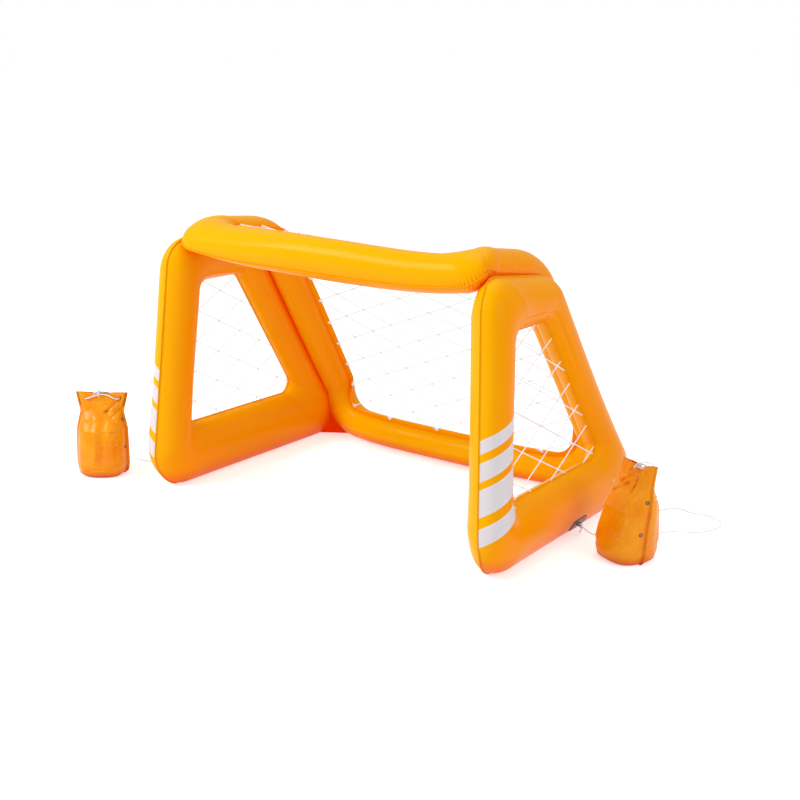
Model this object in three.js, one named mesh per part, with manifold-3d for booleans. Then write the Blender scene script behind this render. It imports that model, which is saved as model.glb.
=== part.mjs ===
// An inflatable water polo goal for a pool: three welded vinyl air panels, nets tied into their openings,
// and two filled anchor bags on cords. Millimetres, +Z up, X across the mouth, the mouth faces -Y.
// The origin is the middle of the footprint, on the ground.

import * as THREE from 'three';
import { mergeVertices } from 'three/addons/utils/BufferGeometryUtils.js';
import Module from 'manifold-3d';

const wasm = await Module();
wasm.setup();

// Driving dimensions of the whole goal.
const footHalfSpan = 574;      // from the middle to the plane of a side panel's outer weld, on the ground
const goalHeight = 757;        // top weld of a side panel at its rear, above the ground
const frontPeak = 42;          // how much higher the crossbar's pull holds its front end
const frontFoot = 18;          // front weld of a side panel at the ground, behind the foremost line
const frontTop = 66;           // the same weld at the top: the posts lean back
const topRear = 434;           // where the top weld would meet the line of the rear strut
const strutFoot = 976;         // where the line of the rear strut's weld would meet the ground
const inwardLean = 46;         // how far the side panels lean in over leanHeight
const leanHeight = 700;
const depthMiddle = 456;       // from the foremost line back to the origin
const fitGap = 0.3;            // left between pieces that touch
const sink = 8;                // how far the ground flattens the tubes
const overrun = 20;            // of every cut past the face it opens
const mergeReach = 1e-4;       // corners closer than this are one

// Air tubes of a side panel: half widths across the panel come from its two weld outlines.
const postWidth = 134;
const topWidth = 118;
const strutWidth = 116;
const baseWidth = 192;
const innerWeldOffset = 24;    // the inner weld stands this far outside the plane of the outer one
const outerRadii = [125, 92, 84, 88];
const innerRadii = [18, 42, 30, 32];
const sideHalfThickness = { corner: [64, 58, 48, 54], run: [58, 50, 45, 60] };

// Air tubes of the middle panel: crossbar, two arms over the side panels, and rear bar.
const crossbarFront = 92;
const crossbarWeldHeight = 744;
const crossbarSag = 5;         // of the middle of the crossbar
const crossbarLift = 34;       // of its front weld at both ends, where it is pulled up to the posts
const crossbarRise = 50;       // depth over which the weld climbs from the crossbar to the side panels
const middleWidth = 114;
const middleHalfThickness = { corner: [38, 52, 53, 53], run: [62, 53, 52, 53] };
const innerRise = { left: 36, right: 14 };  // inner weld above the outer one, on top of each arm
const innerRiseFoot = 16;      // and this far at the foot of the slope
const rearBow = 112;           // how far the net pulls the middle of the rear bar forward
const rearBowReach = 260;      // length of arm over which that pull fades out
const rearWeldHeight = 13;     // of the rear bar's outer weld, above the side panels' lowest line
const tieFlange = 15;          // free width of the welded flange that carries the net
const filmThickness = 1.2;
const middleOuterRadii = [46, 46, 120, 120];
const middleInnerRadii = [60, 60, 70, 70];
const bendRadius = 90;         // of the middle panel over the side panels' rear top corners

// Nets of knotted cord. A knot of each net has a known place, and the others follow from the cells.
const netCord = 3.6;
const netGap = 0.7;            // between the rear net's border and the flange that it is tied to
const netBow = 3;              // of its straight edges as drawn flat, so that each station is a corner
const netBlend = 90;           // how far in from its border a net takes up the border's own line
const leastGapShare = 0.06;    // of a whole cell: smaller gaps along the border stay closed
const cellHeight = 98;
const sideCellLength = 197;
const rearCellLength = 178;
const sideKnotDepth = 213;
const sideKnotHeight = 449;
const rearKnotAcross = 133;
const rearKnotRun = 560;
const netPullShare = 0.85;     // how far the rear net pulls straight in its middle

// Corner webs, anchor patches and their loops.
const webRaise = 3;
const webTop = 70;
const webThickness = 1.6;
const webTuckShare = 0.14;     // of the middle tube's width, that the film's edge is tucked into its skin
const patchLength = 82;
const patchHeight = 40;
const patchCorner = 12;
const patchSteps = 3;
const patchThickness = 1.5;
const patchDepth = 495;        // of its centre, behind the foremost line
const patchLevel = 42;
const patchOutward = 54;       // of the tube's skin there, from the plane of the outer weld
const loopCord = 4;
const loopRadius = 9;

// Anchor bags: rings of the shell as half widths at their heights.
const bagFilm = 1.2;
const bagLevels = [0, 10, 34, 92, 150, 186, 204, 226, 246, 262];
const bagHalfLengths = [60, 72, 76, 75, 73, 65, 61, 66, 71, 74];
const bagHalfWidths = [58, 72, 79, 72, 60, 36, 19, 12, 8.5, 8];
const bagSteps = 16;
const bagSquareness = 0.78;
const fillRings = 5;           // rings of the shell that the sand reaches
// Outboard of the side panels' feet, depth from the foremost line, and how each bag is turned and leans.
const bagPlaces = {
  left: { outboard: 258, depth: 50, turn: 35, lean: 4, leanHeading: 0 },
  right: { outboard: 232, depth: 444, turn: -27, lean: 28, leanHeading: 62 },
};
const drawCord = 4;
const drawDepth = 5;           // of the drawstring below the mouth
const drawEnd = 14;            // its turns lie this far inside the ends of the mouth
const drawKnot = 6;
const drawKnotAcross = -10;
const knotFaceShare = 0.851;   // of a knot's radius, at the middle of its faceted side
const eyeletRadius = 5;
const eyeletBore = 2.2;
const eyeletSegments = 12;
const eyeletThickness = 1.2;
const eyeletHeights = [92, 180];
const eyeletTurn = -20;        // round the bag from the end of its hem, in degrees

// Tethers. Their routes are chosen by hand, from the loop along the ground to the bag's mouth: outboard of
// the side panels' feet, depth and height.
const tetherCord = 3;
const tetherStep = 18;
const tetherRoutes = {
  right: [
    [90, 518, 10], [108, 534, 4], [130, 562, 2.3], [144, 610, 2.3], [149, 680, 2.3], [154, 770, 2.3],
    [168, 850, 2.3], [204, 886, 2.3], [246, 876, 2.3], [296, 880, 2.3], [338, 862, 2.3], [356, 828, 2.3],
    [350, 782, 2.3], [326, 738, 2.3], [288, 712, 2.3], [252, 684, 2.3], [236, 652, 2.3], [244, 610, 2.3],
    [264, 576, 2.3], [272, 555, 8], [272, 545, 30], [273, 541, 80], [274, 530, 130], [276, 512, 175],
    [274, 492, 210], [275, 486, 240], [277, 484, 262],
  ],
  left: [
    [90, 518, 10], [106, 536, 4], [124, 580, 2.3], [142, 668, 2.3], [171, 712, 2.3],
    [204, 698, 2.3], [212, 640, 2.3], [194, 570, 2.3], [170, 490, 2.3], [158, 400, 2.3],
    [164, 310, 2.3], [186, 238, 2.3], [225, 209, 2.3], [266, 205, 2.3], [302, 204, 2.3],
    [326, 182, 2.3], [332, 158, 2.3], [324, 138, 8], [318, 130, 30], [314, 124, 80],
    [306, 112, 130], [294, 94, 175], [283, 76, 210], [279, 70, 240], [277, 67, 262],
  ],
};

// Air valves, in their own frame: the seat's floor is at zero and outward is up.
const valve = {
  seatRadius: 19.3, seatDepth: 3, flangeThickness: 0.9, stemRadius: 6.5, stemReach: 14, stemTop: 2.4,
  stemBore: 4.3, boreDepth: 30, capRadius: 7.5, capThickness: 1.5,
  plugRadius: 3.8, plugTip: 3.2, plugReach: 4,
  strapWidth: 5, lugStart: 5.5, lugEnd: 13.6, lugThickness: 0.8, postThickness: 1.4, postHeight: 0.5,
  depth: 715, height: 96, rearAcross: -300, rearHeight: 78, segments: 20,
};

// Finishes.
const vinyl = new THREE.MeshStandardMaterial({ color: 0xf8a000, roughness: 0.28, metalness: 0 });
const webVinyl = new THREE.MeshStandardMaterial({ color: 0xe65a14, roughness: 0.35, metalness: 0 });
const bagVinyl = new THREE.MeshStandardMaterial({ color: 0xf09a10, roughness: 0.4, metalness: 0 });
const whiteCord = new THREE.MeshStandardMaterial({ color: 0xf2f2f0, roughness: 0.8, metalness: 0 });
const blackPatch = new THREE.MeshStandardMaterial({ color: 0x1a0c1c, roughness: 0.45, metalness: 0 });
const darkEyelet = new THREE.MeshStandardMaterial({ color: 0x4a4640, roughness: 0.35, metalness: 0.8 });
const clearVinyl = new THREE.MeshStandardMaterial({ color: 0xf4c46a, roughness: 0.3, metalness: 0 });
const sand = new THREE.MeshStandardMaterial({ color: 0xc8ab78, roughness: 0.95, metalness: 0 });

const goal = new THREE.Group();

function addPiece(name, geometry, material, parent = goal) {
  const mesh = new THREE.Mesh(geometry, material);
  mesh.name = name;
  parent.add(mesh);
  return mesh;
}

// Solids for cutting and joining.
function toSolid(geometry) {
  const bare = new THREE.BufferGeometry().setAttribute('position', geometry.getAttribute('position').clone());
  if (geometry.index) bare.setIndex(geometry.index.clone());
  const merged = mergeVertices(bare, mergeReach);
  return new wasm.Manifold(new wasm.Mesh({
    numProp: 3,
    vertProperties: new Float32Array(merged.attributes.position.array),
    triVerts: new Uint32Array(merged.index.array),
  }));
}

function toGeometry(solid) {
  const mesh = solid.getMesh();
  const geometry = new THREE.BufferGeometry();
  geometry.setAttribute('position', new THREE.BufferAttribute(mesh.vertProperties, 3));
  geometry.setIndex(new THREE.BufferAttribute(mesh.triVerts, 1));
  return geometry;
}

function largestBody(solid) {
  const bodies = solid.decompose();
  return bodies.reduce((best, body) => (body.volume() > best.volume() ? body : best));
}

function unionOf(geometries) {
  return wasm.Manifold.union(geometries.map(toSolid));
}

// A closed outline of straight runs and rounded corners, as stations. Every corner has the same number
// of points, so an inner and an outer outline can be joined station by station.
function roundedOutline(corners, radii, arcSteps, runSteps) {
  const stations = [];
  const count = corners.length;
  corners.forEach((corner, k) => {
    const toPrevious = corners[(k + count - 1) % count].clone().sub(corner).normalize();
    const toNext = corners[(k + 1) % count].clone().sub(corner).normalize();
    const halfAngle = Math.acos(THREE.MathUtils.clamp(toPrevious.dot(toNext), -1, 1)) / 2;
    const bisector = toPrevious.clone().add(toNext).normalize();
    const centre = corner.clone().addScaledVector(bisector, radii[k] / Math.sin(halfAngle));
    const start = corner.clone().addScaledVector(toPrevious, radii[k] / Math.tan(halfAngle));
    const end = corner.clone().addScaledVector(toNext, radii[k] / Math.tan(halfAngle));
    const from = start.sub(centre);
    const to = end.sub(centre);
    let turn = to.angle() - from.angle();
    if (turn > Math.PI) turn -= 2 * Math.PI;
    if (turn < -Math.PI) turn += 2 * Math.PI;
    for (let i = 0; i <= arcSteps; i += 1) {
      const spoke = from.clone().rotateAround(new THREE.Vector2(), turn * i / arcSteps);
      stations.push({ point: spoke.add(centre), corner: k, along: 0 });
    }
    for (let i = 1; i <= runSteps; i += 1) {
      stations.push({ point: null, corner: k, along: i / (runSteps + 1) });
    }
  });
  // The points of each straight run lie between the arcs on either side of it.
  const step = arcSteps + 1 + runSteps;
  stations.forEach((station, i) => {
    if (station.point) return;
    const before = stations[Math.floor(i / step) * step + arcSteps].point;
    const after = stations[((Math.floor(i / step) + 1) % count) * step].point;
    station.point = before.clone().lerp(after, station.along);
  });
  return stations;
}

// A value given for each corner and each run, eased along the outline.
function eased(values, station) {
  const next = (station.corner + 1) % values.corner.length;
  const straight = THREE.MathUtils.lerp(values.corner[station.corner], values.corner[next], station.along);
  return THREE.MathUtils.lerp(straight, values.run[station.corner], Math.sin(Math.PI * station.along));
}

// Joins closed sections into a closed ring.
function loftRing(sections) {
  const size = sections[0].length;
  const positions = sections.flat().flatMap((point) => point.toArray());
  const index = [];
  sections.forEach((section, i) => {
    const here = i * size;
    const next = ((i + 1) % sections.length) * size;
    for (let j = 0; j < size; j += 1) {
      const k = (j + 1) % size;
      index.push(here + j, next + j, next + k, here + j, next + k, here + k);
    }
  });
  const geometry = new THREE.BufferGeometry();
  geometry.setAttribute('position', new THREE.Float32BufferAttribute(positions, 3));
  geometry.setIndex(index);
  return facingOut(geometry);
}

// Joins closed sections into a solid with a cap on its first and its last section. From the section turnAt
// on, its facets are split the other way, so that a lining is split as the wall that it lies on.
function loftCapped(sections, turnAt = sections.length) {
  const size = sections[0].length;
  const last = (sections.length - 1) * size;
  const ends = [sections[0], sections[sections.length - 1]];
  const middleOf = (ring) => ring.reduce((sum, p) => sum.add(p), new THREE.Vector3()).divideScalar(size);
  const middles = ends.map(middleOf);
  const positions = [...sections.flat(), ...middles].flatMap((point) => point.toArray());
  const startMiddle = sections.length * size;
  const index = [];
  for (let j = 0; j < size; j += 1) {
    const k = (j + 1) % size;
    for (let i = 0; i < last; i += size) {
      const [a, b, c, d] = [i + j, i + size + j, i + size + k, i + k];
      if (i < turnAt * size) index.push(a, b, c, a, c, d);
      else index.push(a, b, d, b, c, d);
    }
    index.push(startMiddle, j, k);
    index.push(startMiddle + 1, last + k, last + j);
  }
  const geometry = new THREE.BufferGeometry();
  geometry.setAttribute('position', new THREE.Float32BufferAttribute(positions, 3));
  geometry.setIndex(index);
  return facingOut(geometry);
}

// A film between two lines of points, from their second points on.
function filmBetween(lineA, lineB, thickness) {
  const positions = [];
  const index = [];
  lineA.slice(1).forEach((a, k) => {
    const b = lineB[k + 1];
    const down = a.clone().add(b).sub(lineA[k]).sub(lineB[k]);
    const normal = b.clone().sub(a).cross(down).setLength(thickness / 2);
    for (const offset of [normal, normal.clone().negate()]) {
      positions.push(...a.clone().add(offset), ...b.clone().add(offset));
    }
    const o = 4 * k;
    if (k + 2 === lineA.length) return;
    index.push(o, o + 1, o + 5, o, o + 5, o + 4, o + 2, o + 7, o + 3, o + 2, o + 6, o + 7);
    index.push(o + 5, o + 1, o + 3, o + 5, o + 3, o + 7, o, o + 4, o + 6, o, o + 6, o + 2);
  });
  const e = positions.length / 3 - 4;
  index.push(1, 0, 2, 1, 2, 3, e, e + 1, e + 3, e, e + 3, e + 2);
  const geometry = new THREE.BufferGeometry();
  geometry.setAttribute('position', new THREE.Float32BufferAttribute(positions, 3));
  geometry.setIndex(index);
  return facingOut(geometry);
}

function facingOut(geometry) {
  const position = geometry.getAttribute('position');
  const index = geometry.index.array;
  const corner = (i) => new THREE.Vector3().fromBufferAttribute(position, index[i]);
  let volume = 0;
  for (let i = 0; i < index.length; i += 3) {
    volume += corner(i).dot(corner(i + 1).cross(corner(i + 2)));
  }
  if (volume < 0) {
    for (let i = 0; i < index.length; i += 3) [index[i], index[i + 1]] = [index[i + 1], index[i]];
  }
  return geometry;
}

// The section of a welded air tube: two sheets that meet at an outer and an inner weld. With a flange,
// the two sheets run on as one flat film past the inner weld.
const tubeSteps = 16;
const weldPinch = 1.1;
function tubeSection(outer, inner, tangent, halfThickness, flange = 0, grow = 0) {
  const centre = outer.clone().add(inner).multiplyScalar(0.5);
  const across = outer.clone().sub(centre);
  const halfWidth = across.length() + grow;
  across.normalize();
  const bulge = tangent.clone().cross(across).normalize();
  const at = (u, v) => centre.clone().addScaledVector(across, u).addScaledVector(bulge, v);
  const points = [];
  for (let i = 0; i < tubeSteps; i += 1) {
    const angle = 2 * Math.PI * i / tubeSteps;
    const swell = Math.sign(Math.sin(angle)) * Math.abs(Math.sin(angle)) ** weldPinch;
    const atInnerWeld = i === tubeSteps / 2;
    if (!(flange && atInnerWeld)) {
      points.push(at(halfWidth * Math.cos(angle), (halfThickness + grow) * swell));
      continue;
    }
    const half = filmThickness / 2 + grow;
    points.push(at(-halfWidth, half));
    points.push(at(-halfWidth - flange, half));
    points.push(at(-halfWidth - flange, -half));
    points.push(at(-halfWidth, -half));
  }
  return points;
}

function ringSections(outer, inner, halfThicknesses, flange = 0, grow = 0) {
  const count = outer.length;
  return outer.map((point, i) => {
    const middleOf = (k) => outer[(k + count) % count].clone().add(inner[(k + count) % count]);
    const tangent = middleOf(i + 1).sub(middleOf(i - 1)).normalize();
    return tubeSection(point, inner[i], tangent, halfThicknesses[i], flange, grow);
  });
}

// The facet of a lofted tube that is nearest to a point, as a frame: centre, outward normal and heading.
function facetNear(sections, target) {
  let best = null;
  sections.forEach((section, i) => {
    const next = sections[(i + 1) % sections.length];
    const middle = section.reduce((sum, p) => sum.add(p), new THREE.Vector3()).divideScalar(section.length);
    section.forEach((a, j) => {
      const k = (j + 1) % section.length;
      const centre = a.clone().add(section[k]).add(next[j]).add(next[k]).divideScalar(4);
      const distance = centre.distanceTo(target);
      if (best && distance >= best.distance) return;
      const normal = next[k].clone().sub(a).cross(next[j].clone().sub(section[k])).normalize();
      if (normal.dot(centre.clone().sub(middle)) < 0) normal.negate();
      const heading = next[j].clone().sub(a).projectOnPlane(normal).normalize();
      best = { distance, centre, normal, heading };
    });
  });
  return best;
}

function flattenOnGround(sections) {
  sections.flat().forEach((point) => { point.z = Math.max(point.z, 0); });
  return sections;
}

// Side panel. Its outlines are drawn in its own plane: depth from the foremost line, and height.
const baseSlope = (frontTop - frontFoot) / goalHeight;
const strutSlope = (strutFoot - topRear) / goalHeight;
const strutLean = Math.hypot(1, strutSlope);
const innerBase = baseWidth;
const innerTop = goalHeight - topWidth;
const postShift = postWidth * Math.hypot(1, baseSlope);
const strutShift = strutWidth * strutLean;
const outerCorners = [
  new THREE.Vector2(frontFoot, 0),
  new THREE.Vector2(frontTop, goalHeight + frontPeak),
  new THREE.Vector2(topRear, goalHeight),
  new THREE.Vector2(strutFoot, 0),
];
const innerCorners = [
  new THREE.Vector2(frontFoot + baseSlope * innerBase + postShift, innerBase),
  new THREE.Vector2(frontFoot + baseSlope * innerTop + postShift, innerTop),
  new THREE.Vector2(strutFoot - strutSlope * innerTop - strutShift, innerTop),
  new THREE.Vector2(strutFoot - strutSlope * innerBase - strutShift, innerBase),
];
const sideArcSteps = 5;
const sideRunSteps = 5;
const sideOuter = roundedOutline(outerCorners, outerRadii, sideArcSteps, sideRunSteps);
const sideInner = roundedOutline(innerCorners, innerRadii, sideArcSteps, sideRunSteps);

// From a side panel's plane to the goal. side is 1 on the right and -1 on the left.
function onSide(side, depth, height, outward = 0) {
  const x = footHalfSpan - inwardLean * height / leanHeight + outward;
  return new THREE.Vector3(side * x, depth - depthMiddle, height - sink);
}

function sidePanelSections(side, grow = 0) {
  const outer = sideOuter.map(({ point }) => onSide(side, point.x, point.y));
  const inner = sideInner.map(({ point }) => onSide(side, point.x, point.y, innerWeldOffset));
  const halves = sideOuter.map((station) => eased(sideHalfThickness, station));
  return flattenOnGround(ringSections(outer, inner, halves, 0, grow));
}

// Middle panel. Its surface follows a profile in depth and height: up from the crossbar's front weld,
// back over the side panels' tops and down along their rear struts.
const profileCorners = [
  new THREE.Vector2(crossbarFront, crossbarWeldHeight),
  new THREE.Vector2(crossbarFront + crossbarRise, goalHeight + frontPeak),
  new THREE.Vector2(topRear, goalHeight),
  new THREE.Vector2(strutFoot - strutSlope * rearWeldHeight, rearWeldHeight),
];
const profile = new THREE.CurvePath();
const bendTangent = bendRadius * Math.tan(Math.atan2(1, strutSlope) / 2);
const riseRadius = crossbarRise;
const riseAngle = Math.atan2(goalHeight + frontPeak - crossbarWeldHeight, crossbarRise);
const riseTangent = riseRadius * Math.tan(riseAngle / 2);
function towards(from, to, length) {
  return from.clone().add(to.clone().sub(from).setLength(length));
}
const riseStart = towards(profileCorners[1], profileCorners[0], riseTangent);
const riseEnd = towards(profileCorners[1], profileCorners[2], riseTangent);
const bendStart = towards(profileCorners[2], profileCorners[1], bendTangent);
const bendEnd = towards(profileCorners[2], profileCorners[3], bendTangent);
profile.add(new THREE.LineCurve(profileCorners[0], riseStart));
profile.add(new THREE.QuadraticBezierCurve(riseStart, profileCorners[1], riseEnd));
profile.add(new THREE.LineCurve(riseEnd, bendStart));
profile.add(new THREE.QuadraticBezierCurve(bendStart, profileCorners[2], bendEnd));
profile.add(new THREE.LineCurve(bendEnd, profileCorners[3]));
const profileLength = profile.getLength();
const slopeStart = profileLength - bendEnd.distanceTo(profileCorners[3]);

function halfSpanAt(height) {
  return footHalfSpan - inwardLean * height / leanHeight;
}

// A point of the middle panel. across is a share of the half span, run is the length along the profile.
function onMiddle(across, run, rise) {
  const t = THREE.MathUtils.clamp(run / profileLength, 0, 1);
  const place = profile.getPointAt(t);
  const heading = profile.getTangentAt(t);
  const raised = place.add(new THREE.Vector2(-heading.y, heading.x).multiplyScalar(rise));
  const pull = THREE.MathUtils.smoothstep(run, profileLength - rearBowReach, profileLength - middleWidth);
  const inboard = 1 - Math.min(Math.abs(across), 1) ** 4;
  const bow = rearBow * pull * inboard;
  const front = 1 - THREE.MathUtils.smoothstep(run, middleWidth, 3 * middleWidth);
  const lift = crossbarLift * (1 - inboard) * (1 - THREE.MathUtils.smoothstep(run, 0, middleWidth));
  const height = raised.y - crossbarSag * inboard * front + lift;
  return new THREE.Vector3(across * halfSpanAt(place.y), raised.x - bow - depthMiddle, height - sink);
}

const armRise = (innerRise.left + innerRise.right) / 2;
const armShare = middleWidth * Math.cos(Math.asin(armRise / middleWidth)) / halfSpanAt(goalHeight);
const outerRect = [
  new THREE.Vector2(-1, 0),
  new THREE.Vector2(1, 0),
  new THREE.Vector2(1, profileLength),
  new THREE.Vector2(-1, profileLength),
];
const innerRect = [
  new THREE.Vector2(-1 + armShare, middleWidth),
  new THREE.Vector2(1 - armShare, middleWidth),
  new THREE.Vector2(1 - armShare, profileLength - middleWidth),
  new THREE.Vector2(-1 + armShare, profileLength - middleWidth),
];
// The rectangles are rounded in millimetres, with the half span as the unit across.
const spanUnit = halfSpanAt(goalHeight);
const inMillimetres = (corner) => new THREE.Vector2(corner.x * spanUnit, corner.y);
const middleArcSteps = 5;
const middleRunSteps = 9;
const middleOuter = roundedOutline(outerRect.map(inMillimetres), middleOuterRadii, middleArcSteps, middleRunSteps);
const middleInner = roundedOutline(innerRect.map(inMillimetres), middleInnerRadii, middleArcSteps, middleRunSteps);

function riseAt(run, across) {
  const top = THREE.MathUtils.lerp(innerRise.left, innerRise.right, THREE.MathUtils.smoothstep(across, -1, 1));
  const t = THREE.MathUtils.smoothstep(run, slopeStart - bendRadius, profileLength);
  return THREE.MathUtils.lerp(top, innerRiseFoot, t);
}

function onInnerWeld(x, run) {
  const across = x / spanUnit;
  return onMiddle(across, run, riseAt(run, across));
}

const middleWelds = {
  outer: middleOuter.map(({ point }) => onMiddle(point.x / spanUnit, point.y, 0)),
  inner: middleInner.map(({ point }) => onInnerWeld(point.x, point.y)),
};
const middleHalves = middleOuter.map((station) => eased(middleHalfThickness, station));
function middleSections(grow) {
  const flange = tieFlange + grow;
  return flattenOnGround(ringSections(middleWelds.outer, middleWelds.inner, middleHalves, flange, grow));
}

// Air valve: a welded flange ring, a stem that pushes flush into the panel, and a hinged plug cap.
function turned(profilePoints, segments = valve.segments) {
  const points = profilePoints.map(([radius, height]) => new THREE.Vector2(radius, height));
  return new THREE.LatheGeometry([...points, points[0]], segments).rotateX(Math.PI / 2);
}

function block(width, from, to, low, high) {
  const geometry = new THREE.BoxGeometry(width, to - from, high - low);
  return geometry.translate(0, (from + to) / 2, (low + high) / 2);
}

const capLow = valve.stemTop + fitGap;

function valveSeatCut() {
  const open = valve.seatDepth + overrun;
  const seat = turned([[0, 0], [valve.seatRadius, 0], [valve.seatRadius, open], [0, open]]);
  const bore = valve.stemRadius + fitGap;
  const hole = turned([[0, -valve.boreDepth], [bore, -valve.boreDepth], [bore, open], [0, open]]);
  return unionOf([seat, hole]);
}

function valveFlange() {
  const outer = valve.seatRadius - fitGap;
  const inner = valve.stemRadius + fitGap;
  const top = fitGap + valve.flangeThickness;
  return turned([[inner, fitGap], [outer, fitGap], [outer, top], [inner, top]]);
}

function valveStem() {
  const low = -valve.stemReach;
  const top = valve.stemTop;
  const tube = turned([
    [valve.stemBore, low], [valve.stemRadius, low], [valve.stemRadius, top], [valve.stemBore, top],
  ]);
  const lug = block(valve.strapWidth, valve.lugStart, valve.lugEnd, top - valve.lugThickness, top);
  const postFrom = valve.lugEnd - valve.postThickness;
  const post = block(valve.strapWidth, postFrom, valve.lugEnd, top, top + valve.postHeight);
  return toGeometry(unionOf([tube, lug, post]));
}

function valveCap() {
  const high = capLow + valve.capThickness;
  const plugEnd = capLow - valve.plugReach;
  const disc = turned([
    [0, plugEnd], [valve.plugTip, plugEnd], [valve.plugRadius, capLow], [valve.capRadius, capLow],
    [valve.capRadius, high], [0, high],
  ]);
  const strapEnd = valve.lugEnd - valve.postThickness - fitGap;
  const strap = block(valve.strapWidth, valve.stemRadius, strapEnd, capLow, capLow + valve.lugThickness);
  return toGeometry(unionOf([disc, strap]));
}

// A group that stands in a facet, sunk to the given depth, with its own y pointing up.
function groupIn(seat, depth) {
  const group = new THREE.Group();
  const heading = seat.heading.clone();
  if (seat.normal.clone().cross(heading).z < 0) heading.negate();
  const upward = seat.normal.clone().cross(heading);
  group.matrix.makeBasis(heading, upward, seat.normal);
  group.matrix.setPosition(seat.centre.clone().addScaledVector(seat.normal, -depth));
  group.matrix.decompose(group.position, group.quaternion, group.scale);
  group.updateMatrixWorld(true);
  return group;
}

function addValve(name, group) {
  addPiece(`valve_flange_${name}`, valveFlange(), vinyl, group);
  addPiece(`valve_stem_${name}`, valveStem(), clearVinyl, group);
  addPiece(`valve_cap_${name}`, valveCap(), clearVinyl, group);
  goal.add(group);
}

function seatedIn(solid, group) {
  return solid.subtract(valveSeatCut().transform(group.matrixWorld.elements));
}

const sides = { left: -1, right: 1 };
const grownSides = {};
for (const [name, side] of Object.entries(sides)) {
  const sections = sidePanelSections(side);
  const target = onSide(side, valve.depth, valve.height, innerWeldOffset / 2 + sideHalfThickness.run[3]);
  const group = groupIn(facetNear(sections, target), valve.seatDepth);
  addPiece(`side_panel_${name}`, toGeometry(seatedIn(toSolid(loftRing(sections)), group)), vinyl);
  addValve(name, group);
  grownSides[name] = toSolid(loftRing(sidePanelSections(side, fitGap)));
}

const plainMiddle = middleSections(0);
const behind = new THREE.Vector3(valve.rearAcross, strutFoot - depthMiddle, valve.rearHeight);
const rearValve = groupIn(facetNear(plainMiddle, behind), valve.seatDepth);
const pressedMiddle = toSolid(loftRing(plainMiddle)).subtract(grownSides.left).subtract(grownSides.right);
addPiece('middle_panel', toGeometry(seatedIn(largestBody(pressedMiddle), rearValve)), vinyl);
addValve('rear', rearValve);

// A net is a flat mesh of cords with a border cord around it, bent to its surface. It is drawn in a plane,
// where flat holds its outline, and border holds the same stations in space.
function plate(points, depth) {
  return toSolid(new THREE.ExtrudeGeometry(new THREE.Shape(points), { depth, bevelEnabled: false }));
}

function netPlate(outline, inside, knot, cell) {
  const box = new THREE.Box2().setFromPoints(outline);
  const edge = cell.x * cell.y / (2 * cell.length());
  const shrink = 1 - netCord / (2 * edge);
  const half = cell.clone().multiplyScalar(shrink / 2);
  const diamond = [
    new THREE.Vector2(half.x, 0),
    new THREE.Vector2(0, half.y),
    new THREE.Vector2(-half.x, 0),
    new THREE.Vector2(0, -half.y),
  ];
  const gaps = [];
  const first = box.min.clone().sub(knot).divide(cell).floor();
  const last = box.max.clone().sub(knot).divide(cell).ceil();
  for (let column = 2 * first.x; column <= 2 * last.x; column += 1) {
    for (let row = 2 * first.y; row <= 2 * last.y; row += 1) {
      if ((column + row) % 2 === 0) continue;
      const middle = new THREE.Vector2(column, row).multiply(cell).divideScalar(2).add(knot);
      gaps.push(plate(diamond.map((corner) => corner.clone().add(middle)), netCord));
    }
  }
  const leastGap = leastGapShare * netCord * cell.x * cell.y / 2;
  const open = wasm.Manifold.union(gaps).intersect(plate(inside, netCord)).decompose();
  const wideEnough = open.filter((gap) => gap.volume() > leastGap);
  return plate(outline, netCord).subtract(wasm.Manifold.union(wideEnough));
}

function nearestOnOutline(spot, outline) {
  const best = { distance: Infinity };
  const segment = new THREE.Line3();
  outline.forEach((a, i) => {
    const b = outline[(i + 1) % outline.length];
    segment.set(new THREE.Vector3(a.x, a.y, 0), new THREE.Vector3(b.x, b.y, 0));
    const share = segment.closestPointToPointParameter(new THREE.Vector3(spot.x, spot.y, 0), true);
    const distance = a.clone().lerp(b, share).distanceTo(spot);
    if (distance < best.distance) Object.assign(best, { distance, i, share });
  });
  return best;
}

// Bends a net's plate to its surface: onNet in the open, and the border's own line at its edge.
function bentNet(solid, outline, border, onNet) {
  const place = (x, y) => {
    const spot = new THREE.Vector2(x, y);
    const { distance, i, share } = nearestOnOutline(spot, outline);
    const next = (i + 1) % outline.length;
    const edge = border[i].clone().lerp(border[next], share);
    const pull = edge.sub(onNet(outline[i].clone().lerp(outline[next], share)));
    return onNet(spot).addScaledVector(pull, 1 - THREE.MathUtils.smoothstep(distance, 0, netBlend));
  };
  const geometry = toGeometry(solid);
  const position = geometry.getAttribute('position');
  for (let i = 0; i < position.count; i += 1) {
    const [x, y, z] = [position.getX(i), position.getY(i), position.getZ(i)];
    const along = place(x + netCord, y).sub(place(x - netCord, y));
    const up = place(x, y + netCord).sub(place(x, y - netCord));
    const normal = along.cross(up).normalize();
    position.setXYZ(i, ...place(x, y).addScaledVector(normal, z - netCord / 2));
  }
  return facingOut(geometry);
}

// The stations of a net's outline, from the two welds of its panel.
function pastInner(outer, inner, reaches) {
  return outer.map((point, i) => point.clone().lerp(inner[i], 1 + reaches[i] / point.distanceTo(inner[i])));
}

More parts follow.
